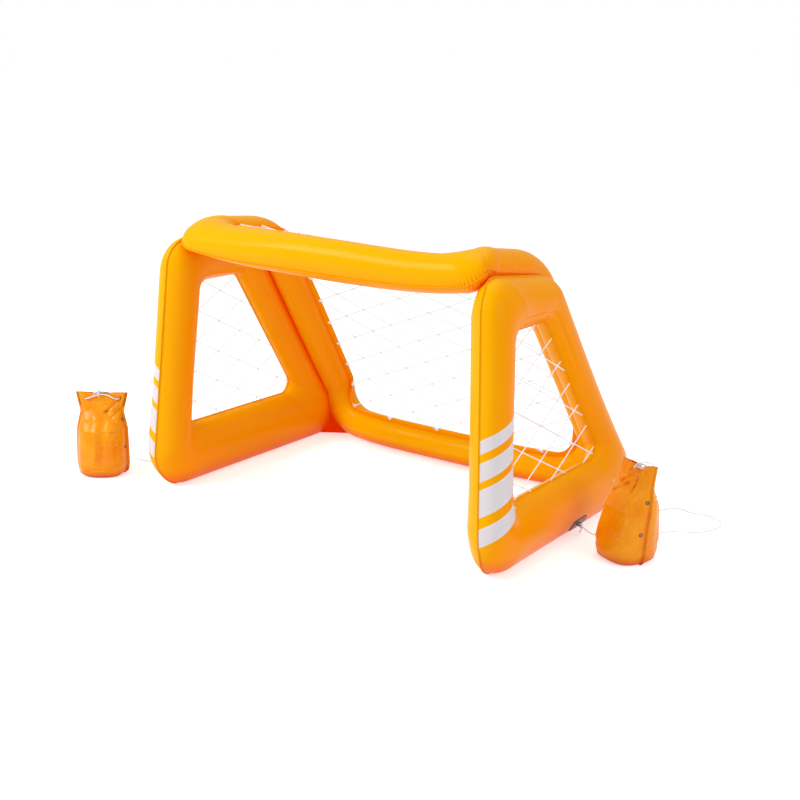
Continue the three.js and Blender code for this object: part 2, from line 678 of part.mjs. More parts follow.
const flatSide = [sideOuter.map(({ point }) => point), sideInner.map(({ point }) => point)];
for (const [name, side] of Object.entries(sides)) {
  const outline = pastInner(...flatSide, sideOuter.map(() => fitGap));
  const onNet = (spot) => onSide(side, spot.x, spot.y, innerWeldOffset);
  const knot = new THREE.Vector2(sideKnotDepth, sideKnotHeight);
  const cell = new THREE.Vector2(sideCellLength, cellHeight);
  const inside = pastInner(...flatSide, sideOuter.map(() => fitGap + netCord));
  const net = netPlate(outline, inside, knot, cell);
  addPiece(`side_net_${name}`, bentNet(net, outline, outline.map(onNet), onNet), whiteCord);
}

const flangeReach = tieFlange + netGap;
const flatRear = [middleOuter.map(({ point }) => point), middleInner.map(({ point }) => point)];
const bowed = middleOuter.map(({ along }) => flangeReach - netBow * 4 * along * (1 - along));
const rearOutline = pastInner(...flatRear, bowed);
const rearInside = pastInner(...flatRear, bowed.map((reach) => reach + netCord));
const rearBorder = pastInner(middleWelds.outer, middleWelds.inner, middleOuter.map(() => flangeReach));
const netTop = middleWidth + flangeReach;
const netBottom = profileLength - middleWidth - flangeReach;
function onRearNet(spot) {
  const onArms = onInnerWeld(spot.x, spot.y);
  const share = (spot.y - netTop) / (netBottom - netTop);
  const straight = onInnerWeld(spot.x, netTop).lerp(onInnerWeld(spot.x, netBottom), share);
  const inboard = 1 - Math.abs(spot.x / (spanUnit * (1 - armShare))) ** 3;
  return onArms.lerp(straight, netPullShare * Math.max(inboard, 0));
}
const rearKnot = new THREE.Vector2(rearKnotAcross, rearKnotRun);
const rearCell = new THREE.Vector2(rearCellLength, cellHeight);
const rearPlate = netPlate(rearOutline, rearInside, rearKnot, rearCell);
const grownMiddle = toSolid(loftRing(middleSections(fitGap)));
const rearNet = toSolid(bentNet(rearPlate, rearOutline, rearBorder, onRearNet)).subtract(grownMiddle);
addPiece('rear_net', toGeometry(largestBody(rearNet)), whiteCord);

// Corner webs: film between side and middle panel, from where their welds part down to the ground, trimmed
// along both panels' skins.
const arcPoints = (stations, corner) => stations.filter((s) => s.corner === corner && s.along === 0);
const webSlab = new THREE.BoxGeometry(3 * footHalfSpan, 3 * footHalfSpan, webTop - webRaise);
const webRoom = toSolid(webSlab.translate(0, 0, (webTop + webRaise) / 2));
for (const [name, side] of Object.entries(sides)) {
  const sideWeld = arcPoints(sideOuter, 3).map(({ point }) => onSide(side, point.x, point.y));
  const middleArc = arcPoints(middleOuter, side > 0 ? 2 : 3).map((station) => middleOuter.indexOf(station));
  const tucked = middleArc.map((i) => middleWelds.outer[i].clone().lerp(middleWelds.inner[i], webTuckShare));
  if (side < 0) tucked.reverse();
  const film = toSolid(filmBetween(sideWeld, tucked, webThickness)).intersect(webRoom);
  const web = largestBody(film.subtract(grownSides[name]).subtract(grownMiddle));
  addPiece(`corner_web_${name}`, toGeometry(web), webVinyl);
}

// A round cord along a curve.
function cordAlong(curve, diameter, sidesRound, steps) {
  const section = new THREE.Shape();
  section.absarc(0, 0, diameter / 2, 0, 2 * Math.PI);
  const settings = { steps, curveSegments: sidesRound, extrudePath: curve, bevelEnabled: false };
  return facingOut(toGeometry(toSolid(new THREE.ExtrudeGeometry(section, settings))));
}

// Anchor patches follow the skin of the base tubes, and each holds a cord loop. A tether starts at its loop.
const tetherStarts = {};
const tetherLeads = {};
for (const [name, side] of Object.entries(sides)) {
  const target = onSide(side, patchDepth, patchLevel, patchOutward);
  const seat = facetNear(sidePanelSections(side), target);
  const outline = roundedOutline([
    new THREE.Vector2(-patchLength / 2, -patchHeight / 2),
    new THREE.Vector2(patchLength / 2, -patchHeight / 2),
    new THREE.Vector2(patchLength / 2, patchHeight / 2),
    new THREE.Vector2(-patchLength / 2, patchHeight / 2),
  ], Array(4).fill(patchCorner), patchSteps, 0).map(({ point }) => point);
  const group = groupIn(seat, overrun);
  const prism = plate(outline, 2 * overrun);
  const placed = prism.transform(group.matrixWorld.elements);
  const skin = toSolid(loftRing(sidePanelSections(side, fitGap + patchThickness)));
  const patch = largestBody(skin.intersect(placed).subtract(grownSides[name]));
  addPiece(`anchor_patch_${name}`, toGeometry(patch), blackPatch);
  const arch = new THREE.CatmullRomCurve3([0, 1, 2, 3, 4, 5, 6].map((step) => {
    const angle = Math.PI * step / 6;
    return seat.centre.clone()
      .addScaledVector(seat.heading, loopRadius * Math.cos(angle))
      .addScaledVector(seat.normal, loopRadius * Math.sin(angle));
  }));
  const clearSkin = toSolid(loftRing(sidePanelSections(side, 2 * fitGap + patchThickness)));
  const loop = toSolid(cordAlong(arch, loopCord, 4, 8)).subtract(clearSkin);
  addPiece(`anchor_loop_${name}`, toGeometry(largestBody(loop)), blackPatch);
  const exit = loopRadius + loopCord / 2 + fitGap;
  tetherStarts[name] = seat.centre.clone().addScaledVector(seat.normal, exit);
  tetherLeads[name] = tetherStarts[name].clone().addScaledVector(seat.normal, 3 * tetherCord);
}

// Anchor bags, drawn with the hem along x and set down by their groups. A bag's rings lean over with height.
function bagPoint(place, u, v, height) {
  const top = bagLevels[bagLevels.length - 1];
  const heading = THREE.MathUtils.degToRad(place.leanHeading);
  const lean = place.lean * (height / top) ** 2;
  return new THREE.Vector3(u + lean * Math.cos(heading), v + lean * Math.sin(heading), height);
}

function bagRing(place, level, inset, height, shortening = 0) {
  return Array.from({ length: bagSteps }, (_, step) => {
    const angle = 2 * Math.PI * step / bagSteps;
    const square = (value) => Math.sign(value) * Math.abs(value) ** bagSquareness;
    const u = (bagHalfLengths[level] - inset - shortening) * square(Math.cos(angle));
    const v = (bagHalfWidths[level] - inset) * square(Math.sin(angle));
    return bagPoint(place, u, v, height);
  });
}

function bagWall(place) {
  return bagLevels.map((height, level) => bagRing(place, level, 0, height));
}

function bagShell(place) {
  const lining = bagLevels.map((height, level) => bagRing(place, level, bagFilm, Math.max(height, bagFilm)));
  return loftCapped([...bagWall(place), ...lining.reverse()], bagLevels.length);
}

// The sand fills the shell up to one of its rings.
function bagFill(place) {
  const inset = bagFilm + fitGap;
  const levels = bagLevels.slice(0, fillRings);
  return loftCapped(levels.map((height, level) => bagRing(place, level, inset, Math.max(height, inset))));
}

function bagDrawstring(place) {
  const top = bagLevels.length - 1;
  const mouth = bagLevels[top];
  const inset = bagFilm + fitGap + drawCord / 2;
  const ring = bagRing(place, top, inset, mouth - drawDepth, drawEnd - inset);
  const cord = new THREE.CatmullRomCurve3(ring, true);
  const loop = loftRing(ring.map((point, i) => {
    const heading = cord.getTangent(i / ring.length);
    const upward = new THREE.Vector3(0, 0, 1).projectOnPlane(heading).normalize();
    const sideways = heading.clone().cross(upward);
    return [0, 1, 2, 3, 4, 5].map((step) => point.clone()
      .addScaledVector(sideways, drawCord / 2 * Math.cos(Math.PI * step / 3))
      .addScaledVector(upward, drawCord / 2 * Math.sin(Math.PI * step / 3)));
  }));
  const knot = bagPoint(place, drawKnotAcross, 0, mouth + fitGap + drawKnot);
  const slack = bagHalfWidths[top] - inset;
  const tails = [-slack, slack].map((v) => {
    const foot = bagPoint(place, drawKnotAcross, v, mouth - drawDepth);
    return cordAlong(new THREE.LineCurve3(foot, knot), drawCord, 2, 1);
  });
  const ball = new THREE.IcosahedronGeometry(drawKnot, 0).translate(...knot);
  return toGeometry(largestBody(unionOf([loop, ...tails, ball])));
}

function bagEyelet(place, height) {
  const level = bagLevels.findIndex((value) => value > height);
  const share = (height - bagLevels[level - 1]) / (bagLevels[level] - bagLevels[level - 1]);
  const ring = bagRing(place, level - 1, 0, bagLevels[level - 1]);
  const above = bagRing(place, level, 0, bagLevels[level]);
  const at = Math.round(bagSteps * eyeletTurn / 360 - 1 / 2);
  const [i, k] = [at, at + 1].map((step) => (step + bagSteps) % bagSteps);
  const [a, b] = [i, k].map((step) => ring[step].clone().lerp(above[step], share));
  const centre = a.clone().add(b).divideScalar(2);
  const upward = above[i].clone().sub(ring[i]).add(above[k]).sub(ring[k]).normalize();
  const normal = b.clone().sub(a).cross(upward).normalize();
  const washer = turned([
    [eyeletBore, 0], [eyeletRadius, 0], [eyeletRadius, eyeletThickness], [eyeletBore, eyeletThickness],
  ], eyeletSegments);
  const stand = new THREE.Matrix4().makeBasis(upward, normal.clone().cross(upward), normal);
  stand.setPosition(centre.addScaledVector(normal, 2 * fitGap));
  return washer.applyMatrix4(stand);
}

for (const [name, place] of Object.entries(bagPlaces)) {
  const group = new THREE.Group();
  group.position.set(sides[name] * (footHalfSpan + place.outboard), place.depth - depthMiddle, 0);
  group.rotation.z = THREE.MathUtils.degToRad(place.turn);
  goal.add(group);
  addPiece(`bag_${name}`, bagShell(place), bagVinyl, group);
  addPiece(`bag_fill_${name}`, bagFill(place), sand, group);
  addPiece(`bag_drawstring_${name}`, bagDrawstring(place), whiteCord, group);
  group.updateMatrixWorld(true);
  const top = bagLevels[bagLevels.length - 1];
  const knot = bagPoint(place, drawKnotAcross, 0, top + fitGap + drawKnot);
  const away = new THREE.Vector3(0, 1, 0);
  const mouth = [0, 3 * tetherCord].map((further) => {
    const reach = knotFaceShare * drawKnot + fitGap + further;
    return group.localToWorld(knot.clone().addScaledVector(away, reach));
  });
  const route = tetherRoutes[name].map(([outboard, depth, height]) => {
    return new THREE.Vector3(sides[name] * (footHalfSpan + outboard), depth - depthMiddle, height);
  });
  const points = [tetherStarts[name], tetherLeads[name], ...route, mouth[1], mouth[0]];
  const curve = new THREE.CatmullRomCurve3(points, false, 'centripetal');
  const steps = Math.round(curve.getLength() / tetherStep);
  addPiece(`tether_${name}`, cordAlong(curve, tetherCord, 4, steps), whiteCord);
  eyeletHeights.forEach((height, i) => {
    const which = ['lower', 'upper'][i];
    addPiece(`bag_eyelet_${which}_${name}`, bagEyelet(place, height), darkEyelet, group);
  });
}

export default goal;
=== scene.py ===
import math

import bpy
import numpy as np
from mathutils import Matrix, Vector
from mathutils.bvhtree import BVHTree
from mathutils.noise import noise


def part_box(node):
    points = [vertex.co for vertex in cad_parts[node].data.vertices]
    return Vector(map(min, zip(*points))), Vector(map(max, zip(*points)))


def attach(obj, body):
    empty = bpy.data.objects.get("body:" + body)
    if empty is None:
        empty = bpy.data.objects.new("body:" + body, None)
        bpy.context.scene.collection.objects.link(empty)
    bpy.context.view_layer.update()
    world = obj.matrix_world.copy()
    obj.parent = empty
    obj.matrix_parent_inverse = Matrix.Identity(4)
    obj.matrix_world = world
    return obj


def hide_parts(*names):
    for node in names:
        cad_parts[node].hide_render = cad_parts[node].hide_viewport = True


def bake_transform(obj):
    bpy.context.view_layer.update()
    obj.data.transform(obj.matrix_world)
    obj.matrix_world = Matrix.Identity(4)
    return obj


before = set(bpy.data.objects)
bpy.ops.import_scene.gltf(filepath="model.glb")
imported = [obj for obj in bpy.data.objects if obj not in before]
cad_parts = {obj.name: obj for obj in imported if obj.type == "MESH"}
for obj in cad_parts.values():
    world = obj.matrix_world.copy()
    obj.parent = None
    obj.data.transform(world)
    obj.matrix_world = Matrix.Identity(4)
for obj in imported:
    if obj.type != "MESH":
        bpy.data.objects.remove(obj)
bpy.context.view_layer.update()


# Viewpoint: a little above the crossbar and round to the right of the mouth, through a short telephoto.
look_right = Vector((0.81711, 0.57611, 0.02072))
look_up = Vector((-0.17097, 0.20784, 0.96311))
look_along = Vector((-0.55054, 0.79051, -0.26833))
eye = Vector((2.1092, -2.9764, 1.3161))
camera_data = bpy.data.cameras.new("camera")
camera_data.sensor_width = 36
camera_data.lens = 56.12
camera = bpy.data.objects.new("camera", camera_data)
turned = Matrix((look_right, look_up, -look_along)).transposed().to_4x4()
camera.matrix_world = Matrix.Translation(eye) @ turned
bpy.context.scene.collection.objects.link(camera)
bpy.context.scene.camera = camera


# Tethers: three-strand white cord, tied into the loop of each anchor patch, lying loose on the ground
# and tied again at the bag's drawstring.
def smooth_line(points, step):
    """A centripetal spline through the points, as points one step apart."""
    p = np.array(points, float)
    p = np.vstack([2 * p[0] - p[1], p, 2 * p[-1] - p[-2]])
    drawn = []
    for a, b, c, d in zip(p, p[1:], p[2:], p[3:]):
        ta, tb, tc = (np.linalg.norm(v) ** 0.5 for v in (b - a, c - b, d - c))
        start = ((b - a) / ta - (c - a) / (ta + tb) + (c - b) / tb) * tb
        end = ((c - b) / tb - (d - b) / (tb + tc) + (d - c) / tc) * tb
        t = np.linspace(0, 1, 24, endpoint=False)[:, None]
        square, cube = 3 * (c - b) - 2 * start - end, 2 * (b - c) + start + end
        drawn.append(b + start * t + square * t**2 + cube * t**3)
    drawn = np.vstack(drawn + [p[-2:-1]])
    return even_line(drawn, step)


def even_line(line, step):
    """The same line with its points evenly spaced."""
    run = np.concatenate([[0], np.cumsum(np.linalg.norm(np.diff(line, axis=0), axis=1))])
    places = np.linspace(0, run[-1], max(2, round(run[-1] / step) + 1))
    return np.stack([np.interp(places, run, line[:, k]) for k in range(3)], axis=1)


def unit(vectors):
    return vectors / np.maximum(np.linalg.norm(vectors, axis=-1, keepdims=True), 1e-12)


def grid_faces(rows, columns, closed_rows=False, closed_columns=False):
    r = np.arange(rows if closed_rows else rows - 1)
    c = np.arange(columns if closed_columns else columns - 1)
    r, c = np.meshgrid(r, c, indexing="ij")
    r1, c1 = (r + 1) % rows, (c + 1) % columns
    corners = [r * columns + c, r1 * columns + c, r1 * columns + c1, r * columns + c1]
    return np.stack(corners, axis=-1).reshape(-1, 4)


def add_piece(name, vertices, faces, material, body):
    mesh = bpy.data.meshes.new(name)
    mesh.from_pydata(np.asarray(vertices).tolist(), [], [list(face) for face in faces])
    mesh.shade_smooth()
    mesh.materials.append(material)
    piece = bpy.data.objects.new(name, mesh)
    bpy.context.scene.collection.objects.link(piece)
    if body:
        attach(piece, body)
    return piece


def tube(line, radius, sides, closed=False, strands=0, pitch=0.012):
    """Rings round a line. With strands, the rings carry the ridges of a laid cord."""
    count = len(line)
    tangents = unit(np.roll(line, -1, 0) - np.roll(line, 1, 0)) if closed else unit(np.gradient(line, axis=0))
    normal = np.cross(tangents[0], [0.3, 0.2, 0.9])
    normals = []
    for tangent in tangents:
        normal = normal - tangent * normal.dot(tangent)
        normal = normal / np.linalg.norm(normal)
        normals.append(normal)
    normals = np.array(normals)
    sideways = np.cross(tangents, normals)
    angle = np.arange(sides) * 2 * np.pi / sides
    run = np.concatenate([[0], np.cumsum(np.linalg.norm(np.diff(line, axis=0), axis=1))])
    swell = np.ones((count, sides))
    if strands:
        lay = angle[None, :] - 2 * np.pi * run[:, None] / pitch
        swell = 1 - 0.2 * (1 - np.abs(np.cos(strands * lay / 2)))
    c, s = np.cos(angle)[None, :, None], np.sin(angle)[None, :, None]
    spokes = normals[:, None] * c + sideways[:, None] * s
    rings = line[:, None] + spokes * (np.broadcast_to(radius, count)[:, None] * swell)[..., None]
    faces = grid_faces(count, sides, closed, True)[:, ::-1].tolist()
    if not closed:
        faces += [list(range(sides)), [(count - 1) * sides + k for k in range(sides)][::-1]]
    return rings.reshape(-1, 3), faces


def joined(parts):
    """One set of vertices and faces from several."""
    vertices, faces, first = [], [], 0
    for points, polygons in parts:
        vertices.append(points)
        faces += [[first + k for k in polygon] for polygon in polygons]
        first += len(points)
    return np.vstack(vertices), faces


class Socket:
    """A node's output. Sums with it add Math nodes to its finish."""

    def __init__(self, finish, link):
        self.finish, self.link = finish, link

    def sum(self, operation, first, second=0.0):
        return self.finish.node("ShaderNodeMath", {"operation": operation}, {0: first, 1: second})

    def __add__(self, other):
        return self.sum("ADD", self, other)

    def __sub__(self, other):
        return self.sum("SUBTRACT", self, other)

    def __rsub__(self, other):
        return self.sum("SUBTRACT", other, self)

    def __mul__(self, other):
        return self.sum("MULTIPLY", self, other)

    def __pow__(self, other):
        return self.sum("POWER", self, other)

    def __gt__(self, other):
        return self.sum("GREATER_THAN", self, other)

    def __lt__(self, other):
        return self.sum("LESS_THAN", self, other)

    __radd__, __rmul__ = __add__, __mul__


class Finish:
    """A material. Its shader's own sockets are set by name, and node() adds any other node."""

    def __init__(self, name, **plain):
        self.material = bpy.data.materials.new(name)
        self.material.use_nodes = True
        self.tree = self.material.node_tree
        self.shader = self.tree.nodes["Principled BSDF"]
        for socket, value in plain.items():
            self.shader.inputs[socket.replace("_", " ")].default_value = value

    def node(self, kind, settings=None, sockets=None, output=0):
        made = self.tree.nodes.new(kind)
        for key, value in (settings or {}).items():
            setattr(made, key, value)
        for key, value in (sockets or {}).items():
            self.feed(made.inputs[key], value)
        return Socket(self, made.outputs[output])

    def feed(self, socket, value):
        if isinstance(value, Socket):
            self.tree.links.new(value.link, socket)
        else:
            socket.default_value = value

    def mix(self, factor, a, b):
        return self.node("ShaderNodeMix", {"data_type": "RGBA"}, {0: factor, 6: a, 7: b}, 2)

    def noise(self, scale, detail=2.0, output=0):
        place = self.node("ShaderNodeTexCoord", output="Object")
        sockets = {"Vector": place, "Scale": scale, "Detail": detail}
        return self.node("ShaderNodeTexNoise", None, sockets, output)

    def surface(self, **links):
        for socket, value in links.items():
            self.feed(self.shader.inputs[socket.replace("_", " ")], value)
        return self.material

    def bump(self, height, distance, strength=1.0):
        sockets = {"Height": height, "Distance": distance, "Strength": strength}
        return self.node("ShaderNodeBump", None, sockets)


def laid_cord_finish(name, light, dark, glow=0.12):
    """Soft white fibre, a little soiled, with a painted white glow that stands in for the light it lets
    through.
    """
    finish = Finish(
        name, Sheen_Weight=0.2, Specular_IOR_Level=0.2, Emission_Color=(1, 1, 1, 1), Emission_Strength=glow,
    )
    fibre = finish.noise(1400.0, 3.0)
    soil = finish.noise(22.0)
    clean = finish.node("ShaderNodeMapRange", None, {0: fibre * 0.5 + soil * 0.5, 1: 0.35, 2: 0.62})
    return finish.surface(
        Base_Color=finish.mix(clean, dark, light), Roughness=0.72 + fibre * 0.2,
        Normal=finish.bump(fibre, 0.0002, 0.7),
    )


tether_finish = laid_cord_finish("tether_cord", (0.83, 0.82, 0.8, 1), (0.6, 0.59, 0.57, 1))
tether_diameter, tether_step = 0.003, 0.0018
tether_lines = {
    "right": [
        (0.63438, 0.05668, 0.02765), (0.64237, 0.0567, 0.0235), (0.664, 0.062, 0.01), (0.682, 0.078, 0.004),
        (0.704, 0.106, 0.0023), (0.718, 0.154, 0.0023), (0.723, 0.224, 0.0023), (0.728, 0.314, 0.0023),
        (0.742, 0.394, 0.0023), (0.778, 0.43, 0.0023), (0.82, 0.42, 0.0023), (0.87, 0.424, 0.0023),
        (0.912, 0.406, 0.0023), (0.93, 0.372, 0.0023), (0.924, 0.326, 0.0023), (0.9, 0.282, 0.0023),
        (0.862, 0.256, 0.0023), (0.826, 0.228, 0.0023), (0.81, 0.196, 0.0023), (0.818, 0.154, 0.0023),
        (0.838, 0.12, 0.0023), (0.846, 0.099, 0.008), (0.846, 0.089, 0.03), (0.847, 0.085, 0.08),
        (0.848, 0.074, 0.13), (0.85, 0.056, 0.175), (0.848, 0.036, 0.21), (0.849, 0.03, 0.24),
        (0.851, 0.028, 0.262), (0.82768, 0.02222, 0.2683), (0.8236, 0.0142, 0.2683),
    ],
    "left": [
        (-0.63438, 0.05668, 0.02765), (-0.64237, 0.0567, 0.0235), (-0.664, 0.062, 0.01), (-0.68, 0.08, 0.004),
        (-0.698, 0.124, 0.0023), (-0.716, 0.212, 0.0023), (-0.745, 0.256, 0.0023), (-0.778, 0.242, 0.0023),
        (-0.786, 0.184, 0.0023), (-0.768, 0.114, 0.0023), (-0.744, 0.034, 0.0023), (-0.732, -0.056, 0.0023),
        (-0.738, -0.146, 0.0023), (-0.76, -0.218, 0.0023), (-0.799, -0.247, 0.0023), (-0.84, -0.251, 0.0023),
        (-0.876, -0.252, 0.0023), (-0.9, -0.274, 0.0023), (-0.906, -0.298, 0.0023), (-0.898, -0.318, 0.008),
        (-0.892, -0.326, 0.03), (-0.888, -0.332, 0.08), (-0.88, -0.344, 0.13), (-0.868, -0.362, 0.175),
        (-0.857, -0.38, 0.21), (-0.853, -0.386, 0.24), (-0.851, -0.389, 0.262), (-0.84502, -0.39753, 0.2683),
        (-0.83986, -0.4049, 0.2683),
    ],
}
for side, points in tether_lines.items():
    line = smooth_line(points, tether_step)
    laid = tube(line, tether_diameter / 2, 12, strands=3)
    cord = add_piece(f"tether_cord_{side}", *laid, tether_finish, None)
    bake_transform(cord)
    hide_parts(f"tether_{side}")
    length = np.linalg.norm(np.diff(line, axis=0), axis=1).sum()
    line[::3].tolist() + [line[-1].tolist()]


# Side panels: two sheets of glossy vinyl film welded along an outer and an inner line and blown up to a
# ring of four tubes. The outer sheet has four slanted white stripes printed low on the front post.
foot_half_span, inward_lean, depth_middle, sink = 0.574, 0.046 / 0.7, 0.456, 0.008
goal_height, front_peak, top_rear, strut_foot = 0.757, 0.042, 0.434, 0.976
front_foot, front_top = 0.018, 0.066
post_width, top_width, strut_width, base_width = 0.134, 0.118, 0.116, 0.192
inner_weld_offset = 0.024
strut_slope = (strut_foot - top_rear) / goal_height
post_slope = (front_top - front_foot) / goal_height
inner_top = goal_height - top_width
post_shift = post_width * math.hypot(1, post_slope)
strut_shift = strut_width * math.hypot(1, strut_slope)
side_outer_corners = [
    (front_foot, 0), (front_top, goal_height + front_peak), (top_rear, goal_height), (strut_foot, 0),
]
side_inner_corners = [
    (front_foot + post_slope * base_width + post_shift, base_width),
    (front_foot + post_slope * inner_top + post_shift, inner_top),
    (strut_foot - strut_slope * inner_top - strut_shift, inner_top),
    (strut_foot - strut_slope * base_width - strut_shift, base_width),
]
side_half_thickness = ([0.064, 0.058, 0.048, 0.054], [0.058, 0.050, 0.045, 0.060])
side_outer_radii = [0.125, 0.092, 0.084, 0.088]
side_inner_radii = [0.018, 0.042, 0.030, 0.032]
side_steps = [240, 120, 260, 200]
film = 0.0012
lip = 0.0045


crowding = 0.7


def rounded_outline(corners, radii, arc_steps, run_steps):
    """Stations along straight runs and round corners: their points, corners and shares of the run.
    They crowd together towards the corners, where the film gathers."""
    corners = [np.array(c, float) for c in corners]
    arcs = []
    for k, (corner, radius) in enumerate(zip(corners, radii)):
        back = unit(corners[k - 1] - corner)
        on = unit(corners[(k + 1) % 4] - corner)
        half = math.acos(np.clip(back.dot(on), -1, 1)) / 2
        centre = corner + unit(back + on) * radius / math.sin(half)
        start = corner + back * radius / math.tan(half) - centre
        end = corner + on * radius / math.tan(half) - centre
        turn = math.atan2(end[1], end[0]) - math.atan2(start[1], start[0])
        turn = (turn + math.pi) % (2 * math.pi) - math.pi
        angles = math.atan2(start[1], start[0]) + turn * np.arange(arc_steps + 1) / arc_steps
        arcs.append(centre + radius * np.stack([np.cos(angles), np.sin(angles)], axis=1))
    points, corner_of, along = [], [], []
    for k, arc in enumerate(arcs):
        steps = run_steps[k]
        share = np.arange(1, steps + 1) / (steps + 1)
        share = share - crowding / (2 * np.pi) * np.sin(2 * np.pi * share)
        points += [arc, arc[-1] + (arcs[(k + 1) % 4][0] - arc[-1]) * share[:, None]]
        corner_of += [k] * (arc_steps + 1 + steps)
        along += [0.0] * (arc_steps + 1) + share.tolist()
    return np.vstack(points), np.array(corner_of), np.array(along)


def eased(at_corners, on_runs, corner_of, along):
    """A size at each station, from its value at the corners and in the middle of the runs."""
    at_corners, on_runs = np.array(at_corners), np.array(on_runs)
    straight = at_corners[corner_of] * (1 - along) + at_corners[(corner_of + 1) % 4] * along
    return straight + (on_runs[corner_of] - straight) * np.sin(np.pi * along)


def smooth_step(x, low, high):
    t = np.clip((x - low) / (high - low), 0, 1)
    return t * t * (3 - 2 * t)


around_half = 44


def blown_ring(outer, inner, halves, flange=0.0, grow=0.0):
    """Sections of a tube between two welds, with their welded lips. Also gives, for each point of a section,
    the angle round it: 0 at the outer weld, pi at the inner one, and past pi on the other sheet."""
    middle = (outer + inner) / 2
    tangents = unit(np.roll(middle, -1, 0) - np.roll(middle, 1, 0))
    width = np.linalg.norm(outer - middle, axis=1)
    across = unit(outer - middle)
    bulge = unit(np.cross(tangents, across))
    t = np.linspace(0, np.pi, around_half + 1)
    u = np.cos(t)[None, :] * (width + grow - lip)[:, None]
    swell = np.maximum((halves + grow)[:, None] * np.sin(t)[None, :] ** 1.1, film / 2 + grow)
    ends = np.ones(len(outer))[:, None]
    reach = max(flange, lip)
    u = np.hstack([(width + grow)[:, None], u, -(width + grow - lip + reach)[:, None]])
    v = np.hstack([ends * (film / 2 + grow), swell, ends * (film / 2 + grow)])
    u, v = np.hstack([u, u[:, ::-1]]), np.hstack([v, -v[:, ::-1]])
    angle = np.concatenate([[0], t, [np.pi]])
    angle = np.concatenate([angle, 2 * np.pi - angle[::-1]])
    return middle[:, None] + across[:, None] * u[..., None] + bulge[:, None] * v[..., None], angle


def pucker(rings, angle, strength, spacing, reach, seed):
    """Gathers the film into short wrinkles that run away from both welds, as far as reach."""
    count = len(rings)
    skin_centre = rings.mean(axis=1, keepdims=True)
    out = unit(rings - skin_centre)
    for weld, (amount, gap) in enumerate(zip(strength, spacing)):
        column = 0 if weld == 0 else around_half + 2
        line = rings[:, column]
        run = np.concatenate([[0], np.cumsum(np.linalg.norm(np.diff(line, axis=0), axis=1))])
        for sheet in (0, 1):
            wander = np.array([noise(Vector((s * 9, seed + sheet * 3.7, weld * 5.1))) for s in run])
            fade = np.array([noise(Vector((s * 14, seed + 8 + sheet * 2.9, weld * 4.3))) for s in run])
            wave = 0.5 - 0.5 * np.cos(2 * np.pi * (run / gap + wander * 1.6))
            depth = amount * np.clip(0.55 + 1.2 * fade, 0.05, 1.3) * wave**1.5
            here = (angle <= np.pi) if sheet == 0 else (angle > np.pi)
            distance = np.linalg.norm(rings - line[:, None], axis=2)
            length = reach * (0.7 + 0.8 * np.abs(fade))[:, None]
            pull = depth[:, None] * np.exp(-(distance / length) ** 1.4) * here[None, :]
            rings = rings - out * pull[..., None]
    return rings


def contact_pucker(rings, tree, amount, gap, reach, here, seed):
    """Short wrinkles in the film beside the line where it is pressed on the neighbouring tube."""
    near = np.full(rings.shape[:2], 1.0)
    here = np.asarray(here, float)
    for r in np.flatnonzero(here > 0):
        for k in range(rings.shape[1]):
            near[r, k] = tree.find_nearest(Vector(rings[r, k]))[3]
    line = rings[:, 0]
    run = np.concatenate([[0], np.cumsum(np.linalg.norm(np.diff(line, axis=0), axis=1))])
    out = unit(rings - rings.mean(axis=1, keepdims=True))
    for layer in (0, 1):
        wander = np.array([noise(Vector((s * 26, seed + layer * 5.3, 1.7))) for s in run])
        fade = np.array([noise(Vector((s * 45, seed + 4 + layer * 3.1, 2.9))) for s in run])
        wave = 0.5 - 0.5 * np.cos(2 * np.pi * (run / (gap * (1 + 0.45 * layer)) + wander * 1.3))
        depth = amount * (0.75 - 0.3 * layer) * np.clip(0.65 + 1.3 * fade, 0.1, 1.4) * wave**1.4 * here
        length = reach * np.clip(0.85 + 1.2 * fade, 0.35, 1.7)
        rings = rings - out * (depth[:, None] * np.exp(-(near / length[:, None]) ** 1.6))[..., None]
    return rings


def press_down(points):
    """The ground flattens what would reach below it."""
    points[..., 2] = (points[..., 2] + np.sqrt(points[..., 2] ** 2 + 0.0022**2)) / 2
    return points


def outward_faces(rings):
    rows, columns = rings.shape[:2]
    faces = grid_faces(rows, columns, True, True)
    flat = rings.reshape(-1, 3)
    a, b, c, d = (flat[faces[:, k]] for k in range(4))
    volume = (a * np.cross(b, c)).sum() + (a * np.cross(c, d)).sum()
    return faces if volume > 0 else faces[:, ::-1]


def skin_tree(rings):
    return BVHTree.FromPolygons(rings.reshape(-1, 3).tolist(), outward_faces(rings).tolist())


def add_skin(name, rings, finish, body):
    return add_piece(name, rings.reshape(-1, 3), outward_faces(rings), finish, body)


side_stations = rounded_outline(side_outer_corners, side_outer_radii, 80, side_steps)
side_inner_stations = rounded_outline(side_inner_corners, side_inner_radii, 80, side_steps)


def on_side(side, depth, height, outward=0.0):
    """Places in the leaning plane of a side panel."""
    x = foot_half_span - inward_lean * height + outward
    return np.stack([side * x, depth - depth_middle, height - sink + 0 * x], axis=-1)


weld_outward, weld_back = 0.014, 0.006


